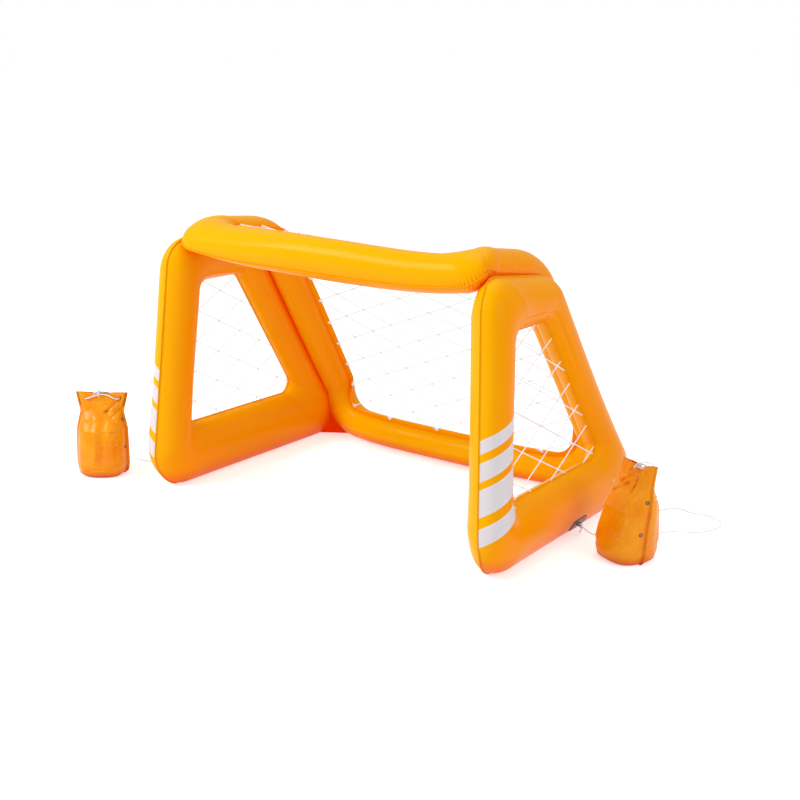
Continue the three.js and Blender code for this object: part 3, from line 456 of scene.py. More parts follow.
def side_rings(side, grow=0.0):
    outline, corner_of, along = side_stations
    outer = on_side(side, outline[:, 0], outline[:, 1])
    inner = on_side(side, side_inner_stations[0][:, 0], side_inner_stations[0][:, 1], inner_weld_offset)
    halves = eased(*side_half_thickness, corner_of, along)
    rings, angle = blown_ring(outer, inner, halves, 0.0, grow)
    # The front weld lies a little round to the outside of the post.
    on_post = np.where(along > 0, 1.0, smooth_step(outline[:, 1], 0.0, 0.09))
    on_post = np.where(corner_of == 0, 1.0, 0.0) * on_post
    at_top = (corner_of == 1) & (along == 0)
    on_post = np.maximum(on_post, np.where(at_top, 1 - smooth_step(outline[:, 0], 0.06, 0.15), 0))
    near_weld = ((1 + np.cos(angle)) / 2) ** 3
    shift = (on_post[:, None] * near_weld[None, :])[..., None]
    rings = rings + shift * np.array([side * weld_outward, weld_back, 0.0])
    return rings, angle, corner_of, along


stripes = [(0.350, 0.386), (0.278, 0.327), (0.185, 0.258), (0.106, 0.156)]
stripe_slope, stripe_bend = 0.62, 1.3
# Painted light: the direction towards the key lamp, from which the film is painted more yellow.
painted_light_side = (-0.6, -0.62, 0.5)


def film_finish(name, printed=False, glow=0.13):
    """Glossy coloured film with painted light: more yellow where it faces up and to the front left, towards
    the key lamp. A painted orange glow stands in for light that has passed through the tube, and the narrow
    clefts are painted red as shade."""
    finish = Finish(
        name, Coat_Weight=0.06, Coat_Roughness=0.1, Specular_IOR_Level=0.07, Specular_Tint=(1, 0.7, 0.2, 1),
        Emission_Strength=1.0,
    )
    # Painted light: faces turned towards the front-left lamp get a yellower copy of the colour, faces turned
    # away an orange one.
    facings = {0: finish.node("ShaderNodeNewGeometry", output="Normal"), 1: painted_light_side}
    lit = finish.node("ShaderNodeVectorMath", {"operation": "DOT_PRODUCT"}, facings, "Value")
    cloud = finish.noise(5.0)
    facing = finish.node("ShaderNodeMapRange", None, {0: lit + cloud * 0.3, 1: -0.45, 2: 0.85})
    colour = finish.mix(facing, (0.88, 0.3, 0.0, 1), (0.86, 0.455, 0.0, 1))
    # Painted shade: where ambient occlusion finds little open sky, the colour is painted red.
    open_sky = finish.node("ShaderNodeAmbientOcclusion", {"samples": 8}, {"Distance": 0.1}, 1)
    cleft_shade = finish.node("ShaderNodeMapRange", None, {0: open_sky, 1: 0.25, 2: 0.75, 3: 1.0, 4: 0.0})
    colour = finish.mix(cleft_shade * 0.75, colour, (0.78, 0.13, 0.001, 1))
    # Painted glow: an orange emission stands in for light that has passed through the tube, stronger and
    # redder in the clefts.
    through = finish.mix(cleft_shade, (glow, glow * 0.12, 0, 1), (glow * 1.2, glow * 0.05, 0, 1))
    grain = finish.noise(900.0, 3.0)
    dimple = finish.noise(38.0, 1.0)
    roughness = 0.24 + cloud * 0.1
    if printed:
        s, h, outer = (
            finish.node("ShaderNodeAttribute", {"attribute_name": mark}, output=2)
            for mark in ("from_weld", "post_height", "outer_sheet")
        )
        level = h - s * stripe_slope + s * s * stripe_bend
        ink = 0.0
        for low, high in stripes:
            ink = (level > low) * (level < high) + ink
        ink = ink * (s > 0.0015) * (h > 0.02) * (outer > 0.5)
        wear = finish.node("ShaderNodeMapRange", None, {0: finish.noise(240.0, 4.0), 1: 0.22, 2: 0.34})
        colour = finish.mix(ink * wear, colour, (0.77, 0.73, 0.76, 1))
        through = finish.mix(ink * wear, through, (0, 0, 0, 1))
        roughness = roughness + ink * 0.12
    return finish.surface(
        Base_Color=colour, Roughness=roughness, Emission_Color=through,
        Normal=finish.bump(dimple * 0.8 + grain * 0.02, 0.0012, 0.3),
    )


side_finish = film_finish("side_panel_film", printed=True)
side_puckers, side_pucker_gaps, side_pucker_reach = (0.0016, 0.0022), (0.013, 0.017), 0.013
crease_depth, crease_ridge = 0.0042, 0.0012
crease_angle, crease_spread, ridge_angle, ridge_spread = 0.26 * math.pi, 0.075, 0.16, 0.09
side_trees, side_skins = {}, {}
for name, side in (("left", -1), ("right", 1)):
    rings, angle, corner_of, along = side_rings(side)
    from_weld = np.linalg.norm(np.diff(rings, axis=1), axis=2)
    from_weld = np.hstack([np.zeros((len(rings), 1)), np.cumsum(from_weld, axis=1)]) - lip
    outer_first = rings[:, 10, 0] * side > rings[:, -10, 0] * side
    first_sheet = np.arange(len(angle)) < around_half + 3
    is_outer = outer_first[:, None] == first_sheet[None, :]
    whole = from_weld[:, -1:] + lip
    from_weld = np.where((angle <= np.pi)[None, :], from_weld, whole - 2 * lip - from_weld)
    at_front = (corner_of == 0) | ((corner_of == 1) & (along == 0))
    off_post = np.where(corner_of == 3, -1.0, 2.0)[:, None]
    height = np.where(at_front[:, None], rings[..., 2] + sink, off_post)
    tight = np.where(along > 0, 0.25 + 0.75 * np.abs(2 * along - 1) ** 4, 1.0)
    tight = tight * np.where((corner_of == 0) & (along > 0.35), 1.0, 0.8)
    strength = [depth * tight for depth in side_puckers]
    rings = pucker(rings, angle, strength, side_pucker_gaps, side_pucker_reach, 3.0 + side)
    # The outer sheet keeps a soft crease round the top of the opening.
    round_top = np.where(corner_of == 1, 1.0, 0.0)
    round_top = round_top + np.where(corner_of == 2, 1 - smooth_step(along, 0.1, 0.6), 0.0)
    round_top = round_top + np.where(corner_of == 0, smooth_step(along, 0.8, 1.0), 0.0)
    from_crease = np.where(is_outer, np.abs(np.pi - angle)[None, :] - crease_angle, 1.0)
    rings_out = unit(rings - rings.mean(axis=1, keepdims=True))
    groove = crease_depth * np.exp(-((from_crease / crease_spread) ** 2))
    groove = groove - crease_ridge * np.exp(-(((from_crease - ridge_angle) / ridge_spread) ** 2))
    rings = rings - rings_out * (round_top[:, None] * groove)[..., None]
    rings = press_down(rings)
    panel = add_skin(f"side_panel_skin_{name}", rings, side_finish, "goal")
    for mark, values in (("from_weld", from_weld), ("post_height", height), ("outer_sheet", is_outer * 1.0)):
        attribute = panel.data.attributes.new(mark, "FLOAT", "POINT")
        attribute.data.foreach_set("value", values.ravel().astype(np.float32))
    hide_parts(f"side_panel_{name}")
    side_trees[name] = skin_tree(rings)
    side_skins[name] = panel, rings, corner_of, along


# Middle panel: one more welded ring of the same film, bent over the side panels. Its front tube is the
# crossbar, its arms lie pressed on the side panels, and its rear tube lies between their feet.
crossbar_front, crossbar_weld_height, crossbar_sag, crossbar_lift = 0.092, 0.744, 0.005, 0.034
crossbar_rise, middle_width, rear_bow, rear_bow_reach, rear_weld_height = 0.05, 0.114, 0.112, 0.26, 0.013
middle_half_thickness = ([0.038, 0.052, 0.053, 0.053], [0.062, 0.053, 0.052, 0.053])
middle_outer_radii, middle_inner_radii = [0.046, 0.046, 0.12, 0.12], [0.06, 0.06, 0.07, 0.07]
bend_radius, tie_flange, left_lift_share = 0.09, 0.015, 0.62
middle_steps = [300, 380, 260, 380]
span_unit = foot_half_span - inward_lean * goal_height
fold = [
    np.array((crossbar_front, crossbar_weld_height)),
    np.array((crossbar_front + crossbar_rise, goal_height + front_peak)),
    np.array((top_rear, goal_height)),
    np.array((strut_foot - strut_slope * rear_weld_height, rear_weld_height)),
]
rise_angle = math.atan2(goal_height + front_peak - crossbar_weld_height, crossbar_rise)
rise_reach = crossbar_rise * math.tan(rise_angle / 2)
bend_reach = bend_radius * math.tan(math.atan2(1, strut_slope) / 2)


def towards(start, end, length):
    return start + unit(end - start) * length


def bent(start, corner, end):
    t = np.linspace(0, 1, 80)[:, None]
    return start * (1 - t) ** 2 + corner * 2 * t * (1 - t) + end * t**2


profile = np.vstack([
    fold[0][None],
    bent(towards(fold[1], fold[0], rise_reach), fold[1], towards(fold[1], fold[2], rise_reach)),
    bent(towards(fold[2], fold[1], bend_reach), fold[2], towards(fold[2], fold[3], bend_reach)),
    fold[3][None],
])
profile_run = np.concatenate([[0], np.cumsum(np.linalg.norm(np.diff(profile, axis=0), axis=1))])
profile_length = profile_run[-1]
slope_start = profile_length - np.linalg.norm(towards(fold[2], fold[3], bend_reach) - fold[3])


def on_profile(run):
    run = np.clip(run, 0, profile_length)
    return np.stack([np.interp(run, profile_run, profile[:, k]) for k in (0, 1)], axis=-1)


def on_middle(across, run, rise):
    """across is a share of the half span, run the length along the fold, rise the height off it."""
    place = on_profile(run)
    heading = unit(on_profile(run + 0.002) - on_profile(run - 0.002))
    depth = place[..., 0] - heading[..., 1] * rise
    height = place[..., 1] + heading[..., 0] * rise
    inboard = 1 - np.minimum(np.abs(across), 1) ** 4
    pull = smooth_step(run, profile_length - rear_bow_reach, profile_length - middle_width)
    front = 1 - smooth_step(run, middle_width, 3 * middle_width)
    lift = crossbar_lift * np.where(across < 0, left_lift_share, 1.0) * (1 - inboard)
    lift = lift * (1 - smooth_step(run, 0, middle_width))
    x = across * (foot_half_span - inward_lean * place[..., 1])
    y = depth - rear_bow * pull * inboard - depth_middle
    return np.stack([x, y, height - crossbar_sag * inboard * front + lift - sink], axis=-1)


rise_left, rise_right, rise_foot = 0.036, 0.014, 0.016
arm_share = middle_width * math.cos(math.asin((rise_left + rise_right) / 2 / middle_width)) / span_unit
outer_rect = [(-span_unit, 0), (span_unit, 0), (span_unit, profile_length), (-span_unit, profile_length)]
inset = (1 - arm_share) * span_unit
inner_rect = [
    (-inset, middle_width), (inset, middle_width),
    (inset, profile_length - middle_width), (-inset, profile_length - middle_width),
]


def on_inner_weld(x, run):
    across = x / span_unit
    top = rise_left + (rise_right - rise_left) * smooth_step(across, -1, 1)
    t = smooth_step(run, slope_start - bend_radius, profile_length)
    return on_middle(across, run, top + (rise_foot - top) * t)


middle_stations = rounded_outline(outer_rect, middle_outer_radii, 50, middle_steps)
middle_inner_stations = rounded_outline(inner_rect, middle_inner_radii, 50, middle_steps)


def middle_rings(grow=0.0):
    outline, corner_of, along = middle_stations
    outer = on_middle(outline[:, 0] / span_unit, outline[:, 1], 0.0)
    inner = on_inner_weld(middle_inner_stations[0][:, 0], middle_inner_stations[0][:, 1])
    halves = eased(*middle_half_thickness, corner_of, along)
    rings, angle = blown_ring(outer, inner, halves, tie_flange + lip, grow)
    return rings, angle, corner_of, along


middle_finish = film_finish("middle_panel_film")
middle_puckers, middle_pucker_gaps, middle_pucker_reach = (0.0032, 0.0016), (0.012, 0.02), 0.016
# Where two panels press on each other: the wrinkles' depth, spacing and reach.
crossbar_wrinkles, post_wrinkles, press_gap = (0.0036, 0.0072, 0.015), (0.0030, 0.0062, 0.013), 0.0006
rings, angle, corner_of, along = middle_rings()
tight = np.where(along > 0, 0.3 + 0.7 * np.abs(2 * along - 1) ** 6, 1.0)
tight = tight * np.where((corner_of >= 2) & (along == 0), 0.6, 1.0)
strength = [depth * tight for depth in middle_puckers]
rings = pucker(rings, angle, strength, middle_pucker_gaps, middle_pucker_reach, 11.0)
middle_tree = skin_tree(rings)
place = middle_stations[0]
for name, side in (("left", -1), ("right", 1)):
    here = smooth_step(side * place[:, 0] / span_unit, 0.70, 0.84)
    here = here * (1 - smooth_step(place[:, 1], 0.16, 0.30))
    rings = contact_pucker(rings, side_trees[name], *crossbar_wrinkles, here, 21.0 + side)
    panel, skin, corner_of, along = side_skins[name]
    here = np.where(corner_of == 1, 1 - smooth_step(along, 0.35, 0.9), 0.0)
    here = here + np.where(corner_of == 0, smooth_step(along, 0.86, 0.99), 0.0)
    skin = contact_pucker(skin, middle_tree, *post_wrinkles, here, 31.0 + side)
    panel.data.vertices.foreach_set("co", skin.reshape(-1).astype(np.float32))
    side_trees[name] = skin_tree(skin)
rings = press_down(rings)
middle = add_skin("middle_panel_skin", rings, middle_finish, "goal")
for name, side in (("left", -1), ("right", 1)):
    pressed = press_down(side_rings(side, press_gap)[0])
    cutter = add_skin(f"press_{name}", pressed, side_finish, None)
    press = middle.modifiers.new(f"pressed_{name}", "BOOLEAN")
    press.operation, press.object, press.solver = "DIFFERENCE", cutter, "MANIFOLD"
depsgraph = bpy.context.evaluated_depsgraph_get()
pressed_mesh = bpy.data.meshes.new_from_object(middle.evaluated_get(depsgraph))
middle.modifiers.clear()
middle.data = pressed_mesh
for name in ("left", "right"):
    bpy.data.objects.remove(bpy.data.objects[f"press_{name}"])
pressed_mesh.set_sharp_from_angle(angle=math.radians(50))
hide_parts("middle_panel")


# Nets: soft white cord in diamonds, its crossings twisted together without a knot. The side nets' ends are
# welded into the openings' edges, and the rear net is lashed through holes in the middle panel's flange.
# The net cord is grey, with a strong painted white glow that makes it read as white.
net_finish = laid_cord_finish("net_cord", (0.5, 0.51, 0.54, 1), (0.42, 0.43, 0.46, 1), 0.42)
net_radius, net_step = 0.0016, 0.012
cell_height, side_cell_width, rear_cell_width = 0.098, 0.197, 0.178
shortest_cord, knot_room, twist_reach = 0.012, 0.004, 0.0042
twist_radii = np.array([0.0012, 0.0020, 0.0023, 0.0021, 0.0023, 0.0020, 0.0012])
side_net_tuck, flange_reach = 0.002, tie_flange + 0.0007


def past_inner(outer, inner, reach):
    return outer + (inner - outer) * (1 + reach / np.linalg.norm(outer - inner, axis=1))[:, None]


def crossed_edges(start, heading, outline):
    """Where a straight line crosses a closed outline: the lengths along it, and the places on the outline."""
    run = np.roll(outline, -1, 0) - outline
    away = outline - start
    turn = heading[0] * run[:, 1] - heading[1] * run[:, 0]
    turn = np.where(np.abs(turn) < 1e-12, 1e-12, turn)
    along = (away[:, 0] * run[:, 1] - away[:, 1] * run[:, 0]) / turn
    share = (away[:, 0] * heading[1] - away[:, 1] * heading[0]) / turn
    hits = np.flatnonzero((share >= 0) & (share < 1))
    return sorted((along[k], k + share[k]) for k in hits)


def hung_net(outline, border, first_knot, cell):
    """Cords stretched across a closed border, which share the pull where they cross. Gives each cord's
    points, the places where two cords cross, and the places where they are tied to the border."""
    ends, cords = [], []
    reach = np.abs(outline).max() * 2
    for way in (1, -1):
        heading = unit(np.array([cell[0], way * cell[1]]))
        for k in range(-40, 41):
            start = np.array(first_knot) + np.array([0.0, k * cell[1]])
            hits = crossed_edges(start, heading, outline)
            for (low, low_place), (high, high_place) in zip(hits[::2], hits[1::2]):
                if high - low > shortest_cord:
                    cords.append((way, start, heading, low, high, low_place, high_place))
    spots, members = [], [[] for _ in cords]
    for m, (way, start, heading, low, high, low_place, high_place) in enumerate(cords):
        for length, place in ((low, low_place), (high, high_place)):
            k, share = int(place), place % 1
            ends.append((len(spots), border[k] * (1 - share) + border[(k + 1) % len(border)] * share))
            members[m].append((length, len(spots)))
            spots.append(start + heading * length)
    for m, first in enumerate(cords):
        for n, second in enumerate(cords):
            if first[0] < 0 or second[0] > 0:
                continue
            (_, p, u, low, high, *_), (_, q, v, low2, high2, *_) = first, second
            turn = u[0] * v[1] - u[1] * v[0]
            along = ((q - p)[0] * v[1] - (q - p)[1] * v[0]) / turn
            other = ((q - p)[0] * u[1] - (q - p)[1] * u[0]) / turn
            if low + knot_room < along < high - knot_room and low2 + knot_room < other < high2 - knot_room:
                members[m].append((along, len(spots)))
                members[n].append((other, len(spots)))
                spots.append(p + u * along)
    count = len(spots)
    pull = np.zeros((count, count))
    for member in members:
        member.sort()
        for (a, i), (b, j) in zip(member, member[1:]):
            q = 1 / (b - a)
            pull[i, i] += q
            pull[j, j] += q
            pull[i, j] -= q
            pull[j, i] -= q
    held = np.zeros((count, 3))
    for i, place in ends:
        pull[i] = 0
        pull[i, i] = 1
        held[i] = place
    taut = np.linalg.solve(pull, held)
    lines = [taut[[i for _, i in member]] for member in members]
    return lines, taut[len(ends):], [place for _, place in ends]


def net_parts(lines, crossings):
    parts = [tube(smooth_line(line, net_step) if len(line) > 2 else line, net_radius, 7) for line in lines]
    for place in crossings:
        twist = place + np.array([0, 0, 1.0]) * np.linspace(-twist_reach, twist_reach, 7)[:, None]
        parts.append(tube(twist, twist_radii, 8))
    return parts


side_outline_coarse = rounded_outline(side_outer_corners, side_outer_radii, 12, [14] * 4)[0]
side_inner_coarse = rounded_outline(side_inner_corners, side_inner_radii, 12, [14] * 4)[0]
for name, side, first_knot in (("left", -1, (0.213, 0.449)), ("right", 1, (0.349, 0.457))):
    outline = past_inner(side_outline_coarse, side_inner_coarse, -side_net_tuck)
    border = on_side(side, outline[:, 0], outline[:, 1], inner_weld_offset)
    lines, crossings, _ = hung_net(outline, border, first_knot, (side_cell_width, cell_height))
    parts = net_parts(lines, crossings)
    side_net = add_piece(f"side_net_cords_{name}", *joined(parts), net_finish, "goal")
    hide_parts(f"side_net_{name}")

rear_outer_flat = rounded_outline(outer_rect, middle_outer_radii, 12, [20] * 4)[0]
rear_inner_flat = rounded_outline(inner_rect, middle_inner_radii, 12, [20] * 4)[0]
rear_outer = on_middle(rear_outer_flat[:, 0] / span_unit, rear_outer_flat[:, 1], 0.0)
rear_inner = on_inner_weld(rear_inner_flat[:, 0], rear_inner_flat[:, 1])
rear_outline = past_inner(rear_outer_flat, rear_inner_flat, flange_reach)
rear_border = past_inner(rear_outer, rear_inner, flange_reach)
lash_radius, tail_radius = 0.0010, 0.0009
lash_reach, tight_reach, lash_half_width, lash_pitch = 0.0052, 0.0026, 0.0030, 0.0032
tight_above = 0.7


def lashing(place, line, outward, seed):
    """A few turns of cord through a hole in the flange, with its cut ends. High up they are pulled tight."""
    k = np.linalg.norm(line - place, axis=1).argmin()
    heading = unit(line[(k + 1) % len(line)] - line[k - 1])
    normal = np.cross(heading, outward[k])
    t = np.linspace(0, 2 * np.pi, 18, endpoint=False)[:, None]
    is_loose = place[2] < tight_above
    parts = []
    for turn, lean in enumerate((-0.5, 0.15, 0.7)):
        reach = (lash_reach if is_loose else tight_reach) + 0.0008 * math.sin(seed * 3 + turn)
        loop = place + outward[k] * reach * (0.75 - np.cos(t)) + normal * lash_half_width * np.sin(t)
        loop = loop + heading * (lash_pitch * lean + 0.0034 * lean * np.cos(t))
        parts.append(tube(loop, lash_radius, 6, closed=True))
    for way in (-1, 1) if is_loose else ():
        bend = place + normal * 0.005 + heading * way * 0.005 - outward[k] * 0.003
        cut = place + normal * 0.004 + heading * way * 0.010
        cut = cut - outward[k] * (0.004 + 0.003 * math.sin(seed + way))
        parts.append(tube(smooth_line([place + normal * 0.003, bend, cut], 0.002), tail_radius, 5))
    return parts


lines, crossings, ends = hung_net(rear_outline, rear_border, (0.133, 0.56), (rear_cell_width, cell_height))
parts = net_parts(lines, crossings)
rear_outward = unit(rear_outer - rear_inner)
for n, place in enumerate(ends):
    parts += lashing(place, rear_border, rear_outward, n * 1.7)
rear_net = add_piece("rear_net_cords", *joined(parts), net_finish, "goal")
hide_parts("rear_net")


# Corner webs: a single sheet of red-orange film in each rear corner, which lets much light through, shown as a
# painted red glow. It is welded between the outer weld of the side panel and that of the middle panel, close
# to the ground.
web_finish = Finish(
    "corner_web_film", Coat_Weight=0.12, Coat_Roughness=0.15, Specular_IOR_Level=0.15, Emission_Strength=1.0,
)
ripple = web_finish.noise(60.0, 2.0)
web_material = web_finish.surface(
    Base_Color=web_finish.mix(ripple, (0.72, 0.04, 0.003, 1), (0.80, 0.09, 0.003, 1)),
    Roughness=0.3 + ripple * 0.1,
    # Painted glow: a red emission stands in for the light the web lets through.
    Emission_Color=web_finish.mix(ripple, (0.2, 0.01, 0, 1), (0.28, 0.02, 0, 1)),
    Normal=web_finish.bump(ripple, 0.002, 0.6),
)
web_low, web_high, web_thickness, web_ripple, web_tuck = 0.003, 0.07, 0.0012, 0.004, 0.012
for name, side in (("left", -1), ("right", 1)):
    side_arc = rounded_outline(side_outer_corners, side_outer_radii, 60, [1] * 4)
    side_arc = side_arc[0][(side_arc[1] == 3) & (side_arc[2] == 0)]
    side_weld = on_side(side, side_arc[:, 0], side_arc[:, 1])
    middle_arc = rounded_outline(outer_rect, middle_outer_radii, 60, [1] * 4)
    middle_arc = middle_arc[0][(middle_arc[1] == (2 if side > 0 else 3)) & (middle_arc[2] == 0)]
    middle_weld = on_middle(middle_arc[:, 0] / span_unit, middle_arc[:, 1], 0.0)
    if side < 0:
        middle_weld = middle_weld[::-1]
    keep = (side_weld[:, 2] > web_low - web_tuck) & (side_weld[:, 2] < web_high)
    a, b = side_weld[keep], middle_weld[keep]
    share = np.linspace(0, 1, 40)
    rows = a[:, None] + (b - a)[:, None] * share[None, :, None]
    ripple = np.array([[noise(Vector((p[0] * 22, p[1] * 22, p[2] * 9))) for p in row] for row in rows])
    normal = unit(np.cross(b[len(b) // 2] - a[len(a) // 2], a[-1] - a[0]))
    rows = rows + normal * (ripple * web_ripple * np.sin(np.pi * share)[None, :])[..., None]
    rows[..., 2] = np.maximum(rows[..., 2], web_low)
    both = np.vstack([(rows + normal * way * web_thickness / 2).reshape(-1, 3) for way in (1, -1)])
    faces = grid_faces(*rows.shape[:2])
    faces = np.vstack([faces, (faces + rows.shape[0] * rows.shape[1])[:, ::-1]]).tolist()
    web = add_piece(f"corner_web_film_{name}", both, faces, web_material, "goal")
    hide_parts(f"corner_web_{name}")


# Anchor patches: rounded pieces of black vinyl welded on the base tubes, each with a moulded loop for the
# tether, which is tied round it with a small knot.
patch_finish = Finish("patch_vinyl", Coat_Weight=0.3, Coat_Roughness=0.2)
scuff = patch_finish.noise(160.0, 5.0)
pebble = patch_finish.noise(1800.0, 2.0)
patch_material = patch_finish.surface(
    Base_Color=patch_finish.mix(scuff ** 3.0, (0.006, 0.003, 0.008, 1), (0.05, 0.035, 0.055, 1)),
    Roughness=0.3 + scuff * 0.3, Normal=patch_finish.bump(pebble, 0.0002, 0.6),
)


def knot(centre, size, cord_radius, turn=0.0, squash=0.75):
    """An overhand knot pulled tight."""
    t = np.linspace(0, 2 * np.pi, 30, endpoint=False)
    line = [np.sin(t) + 2 * np.sin(2 * t), np.cos(t) - 2 * np.cos(2 * t), -squash * 2 * np.sin(3 * t)]
    line = np.stack(line, axis=1) * size / 3
    c, s = math.cos(turn), math.sin(turn)
    line = line @ np.array([[c, 0, s], [s * 0.6, 0.8, -c * 0.6], [-s * 0.8, 0.6, c * 0.8]])
    return tube(line + centre, cord_radius, 6, closed=True)


patch_half_length, patch_half_height, patch_corner, patch_thickness = 0.041, 0.020, 0.012, 0.0015
loop_radius, loop_cord = 0.009, 0.004
# The patch's edge and face, from the tube up and in, as shares of its outline and of its thickness.
patch_shares = (
    (1.0, 0.0), (1.0, 0.8), (0.985, 1.15), (0.955, 1.25), (0.925, 1.1), (0.9, 0.9), (0.7, 0.95), (0.45, 1.0),
    (0.2, 1.05), (0.02, 1.1),
)
patch_seat, cast_height = 0.0004, 0.04
first_knot_size, second_knot_size = 0.0052, 0.0042
for name, side in (("left", -1), ("right", 1)):
    centre = np.array([side * 0.62435, 0.05665, 0.03286])
    normal = np.array([side * 0.88735, 0.00258, -0.46109])
    heading = np.array([0.0028 * side, -1.0, 0.0])
    heading = unit(heading - normal * heading.dot(normal))
    upward = np.cross(normal, heading)
    upward = upward if upward[2] > 0 else -upward
    edge = rounded_outline(
        [(-patch_half_length, -patch_half_height), (patch_half_length, -patch_half_height),
         (patch_half_length, patch_half_height), (-patch_half_length, patch_half_height)],
        [patch_corner] * 4, 6, [16, 7, 16, 7],
    )[0]
    rings = []
    for scale, lift in patch_shares:
        ring = []
        for a, b in edge * scale:
            start = Vector(centre + heading * a + upward * b + normal * cast_height)
            spot, facing, _, _ = side_trees[name].ray_cast(start, Vector(-normal))
            ring.append(np.array(spot) + np.array(facing) * (patch_seat + patch_thickness * lift))
        rings.append(ring)
    rings = np.array(rings)
    parts = [(rings.reshape(-1, 3), grid_faces(*rings.shape[:2], False, True).tolist())]
    t = np.linspace(-0.35, np.pi + 0.35, 26)[:, None]
    arch = centre + heading * loop_radius * np.cos(t) + normal * (loop_radius * np.sin(t) + 0.0005)
    parts.append(tube(arch, loop_cord / 2, 14))
    patch = add_piece(f"anchor_patch_vinyl_{name}", *joined(parts), patch_material, "goal")
    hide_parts(f"anchor_patch_{name}", f"anchor_loop_{name}")
    place = centre + normal * (loop_radius + 0.0006)
    parts = [knot(place, first_knot_size, tether_diameter / 2, 0.5)]
    parts.append(knot(place + normal * 0.004 - upward * 0.002, second_knot_size, tether_diameter / 2, 2.0))
    bend, cut = place + normal * 0.008 - upward * 0.006, place + normal * 0.010 - upward * 0.018
    tail = smooth_line([place, bend, cut + heading * 0.006], 0.0015)
    parts.append(tube(tail, tether_diameter / 2, 10, strands=3))
    hitch = add_piece(f"tether_hitch_{name}", *joined(parts), tether_finish, "goal")


# Anchor bags: pouches of two sheets of creased vinyl film, welded flat along both sides and hemmed at the
# mouth. The lower part is filled with sand, and a cord in the hem draws the mouth shut. Each pouch has two
# burnished eyelets in its film.
bag_levels = np.array([0, 10, 34, 92, 150, 186, 204, 226, 246, 262]) / 1000
bag_half_widths = np.array([58, 72, 79, 72, 60, 36, 19, 12, 8, 6]) / 1000
bag_mouth, bag_hem, seam_width, seam_half_thickness = 0.262, 0.240, 0.008, 0.0006
bag_hem_dent, bag_hem_spread, bag_least_depth = 0.0014, 0.0018, 0.0009
bag_lining, sand_inset, sand_low, sand_high, sand_levels = 0.0012, 0.014, 0.004, 0.14, 12
# Each fold runs from one place on the front sheet, along it and up it, to another, and then has a depth and
# a width. The drawn cord's points are in the bag's own frame.
bag_places = {
    "left": dict(
        x=-0.832, depth=0.050, turn=35, lean=0.004, heading=0, rise=(0.004, 0.004), dip=0.0, seed=2.0,
        left=np.array([60, 72, 76, 75, 73, 65, 61, 66, 71, 74]) / 1000,
        right=np.array([60, 72, 76, 75, 73, 65, 61, 66, 71, 74]) / 1000,
        folds=[
            (0.060, 0.246, 0.016, 0.204, 0.0050, 0.0050), (0.016, 0.204, 0.058, 0.166, 0.0040, 0.0060),
            (0.062, 0.216, 0.034, 0.186, 0.0040, 0.0040), (-0.006, 0.190, -0.010, 0.060, -0.0045, 0.0120),
            (0.014, 0.180, 0.012, 0.050, 0.0040, 0.0140), (0.016, 0.146, 0.062, 0.147, 0.0022, 0.0028),
            (0.016, 0.101, 0.060, 0.103, 0.0024, 0.0030), (0.050, 0.120, 0.058, 0.030, 0.0040, 0.0050),
            (-0.060, 0.040, 0.050, 0.026, 0.0022, 0.0045), (-0.040, 0.024, 0.060, 0.044, 0.0020, 0.0035),
            (-0.066, 0.190, -0.058, 0.150, 0.0030, 0.0060),
        ],
        drawn=[
            (-0.052, -0.004, 0.244), (-0.044, -0.0115, 0.247), (-0.026, -0.0125, 0.254),
            (0.0, -0.0105, 0.261), (0.022, -0.011, 0.257), (0.040, -0.0125, 0.249), (0.050, -0.006, 0.245),
            (0.054, 0.0, 0.246), (0.040, 0.004, 0.258), (0.0, 0.005, 0.265), (-0.040, 0.003, 0.256),
        ],
    ),
    "right": dict(
        x=0.806, depth=0.444, turn=-27, lean=0.028, heading=62, rise=(0.003, 0.020), dip=0.011, seed=7.0,
        left=np.array([60, 72, 76, 75, 73, 70, 68, 69, 71, 72]) / 1000,
        right=np.array([60, 72, 76, 75, 74, 69, 64, 61, 59, 57]) / 1000,
        folds=[
            (-0.001, 0.262, 0.010, 0.224, 0.0110, 0.0042), (0.010, 0.224, 0.012, 0.196, 0.0085, 0.0040),
            (0.022, 0.250, 0.024, 0.200, -0.0050, 0.0060), (-0.056, 0.186, -0.008, 0.230, -0.0042, 0.0032),
            (-0.050, 0.202, -0.012, 0.238, 0.0040, 0.0035), (-0.062, 0.172, -0.014, 0.212, 0.0045, 0.0032),
            (-0.054, 0.212, -0.018, 0.244, -0.0030, 0.0028), (-0.040, 0.226, -0.022, 0.258, 0.0040, 0.0036),
            (-0.060, 0.226, -0.052, 0.258, 0.0030, 0.0040), (0.004, 0.086, 0.066, 0.079, 0.0022, 0.0028),
            (0.030, 0.068, 0.068, 0.064, 0.0018, 0.0030), (-0.040, 0.170, -0.048, 0.060, -0.0050, 0.0100),
            (-0.060, 0.150, -0.064, 0.040, 0.0050, 0.0080), (0.050, 0.190, 0.058, 0.070, 0.0026, 0.0060),
        ],
        drawn=[
            (-0.030, 0.0, 0.252), (-0.022, -0.007, 0.256), (-0.010, -0.010, 0.260), (0.006, -0.010, 0.259),
            (0.018, -0.009, 0.262), (0.030, -0.004, 0.260), (0.030, 0.003, 0.262), (0.006, 0.004, 0.266),
            (-0.018, 0.004, 0.262),
        ],
    ),
}
bag_finish = Finish(
    "bag_film", Coat_Weight=0.16, Coat_Roughness=0.12, Specular_IOR_Level=0.15, Emission_Strength=1.0,
)
cloud = bag_finish.noise(16.0, 3.0)
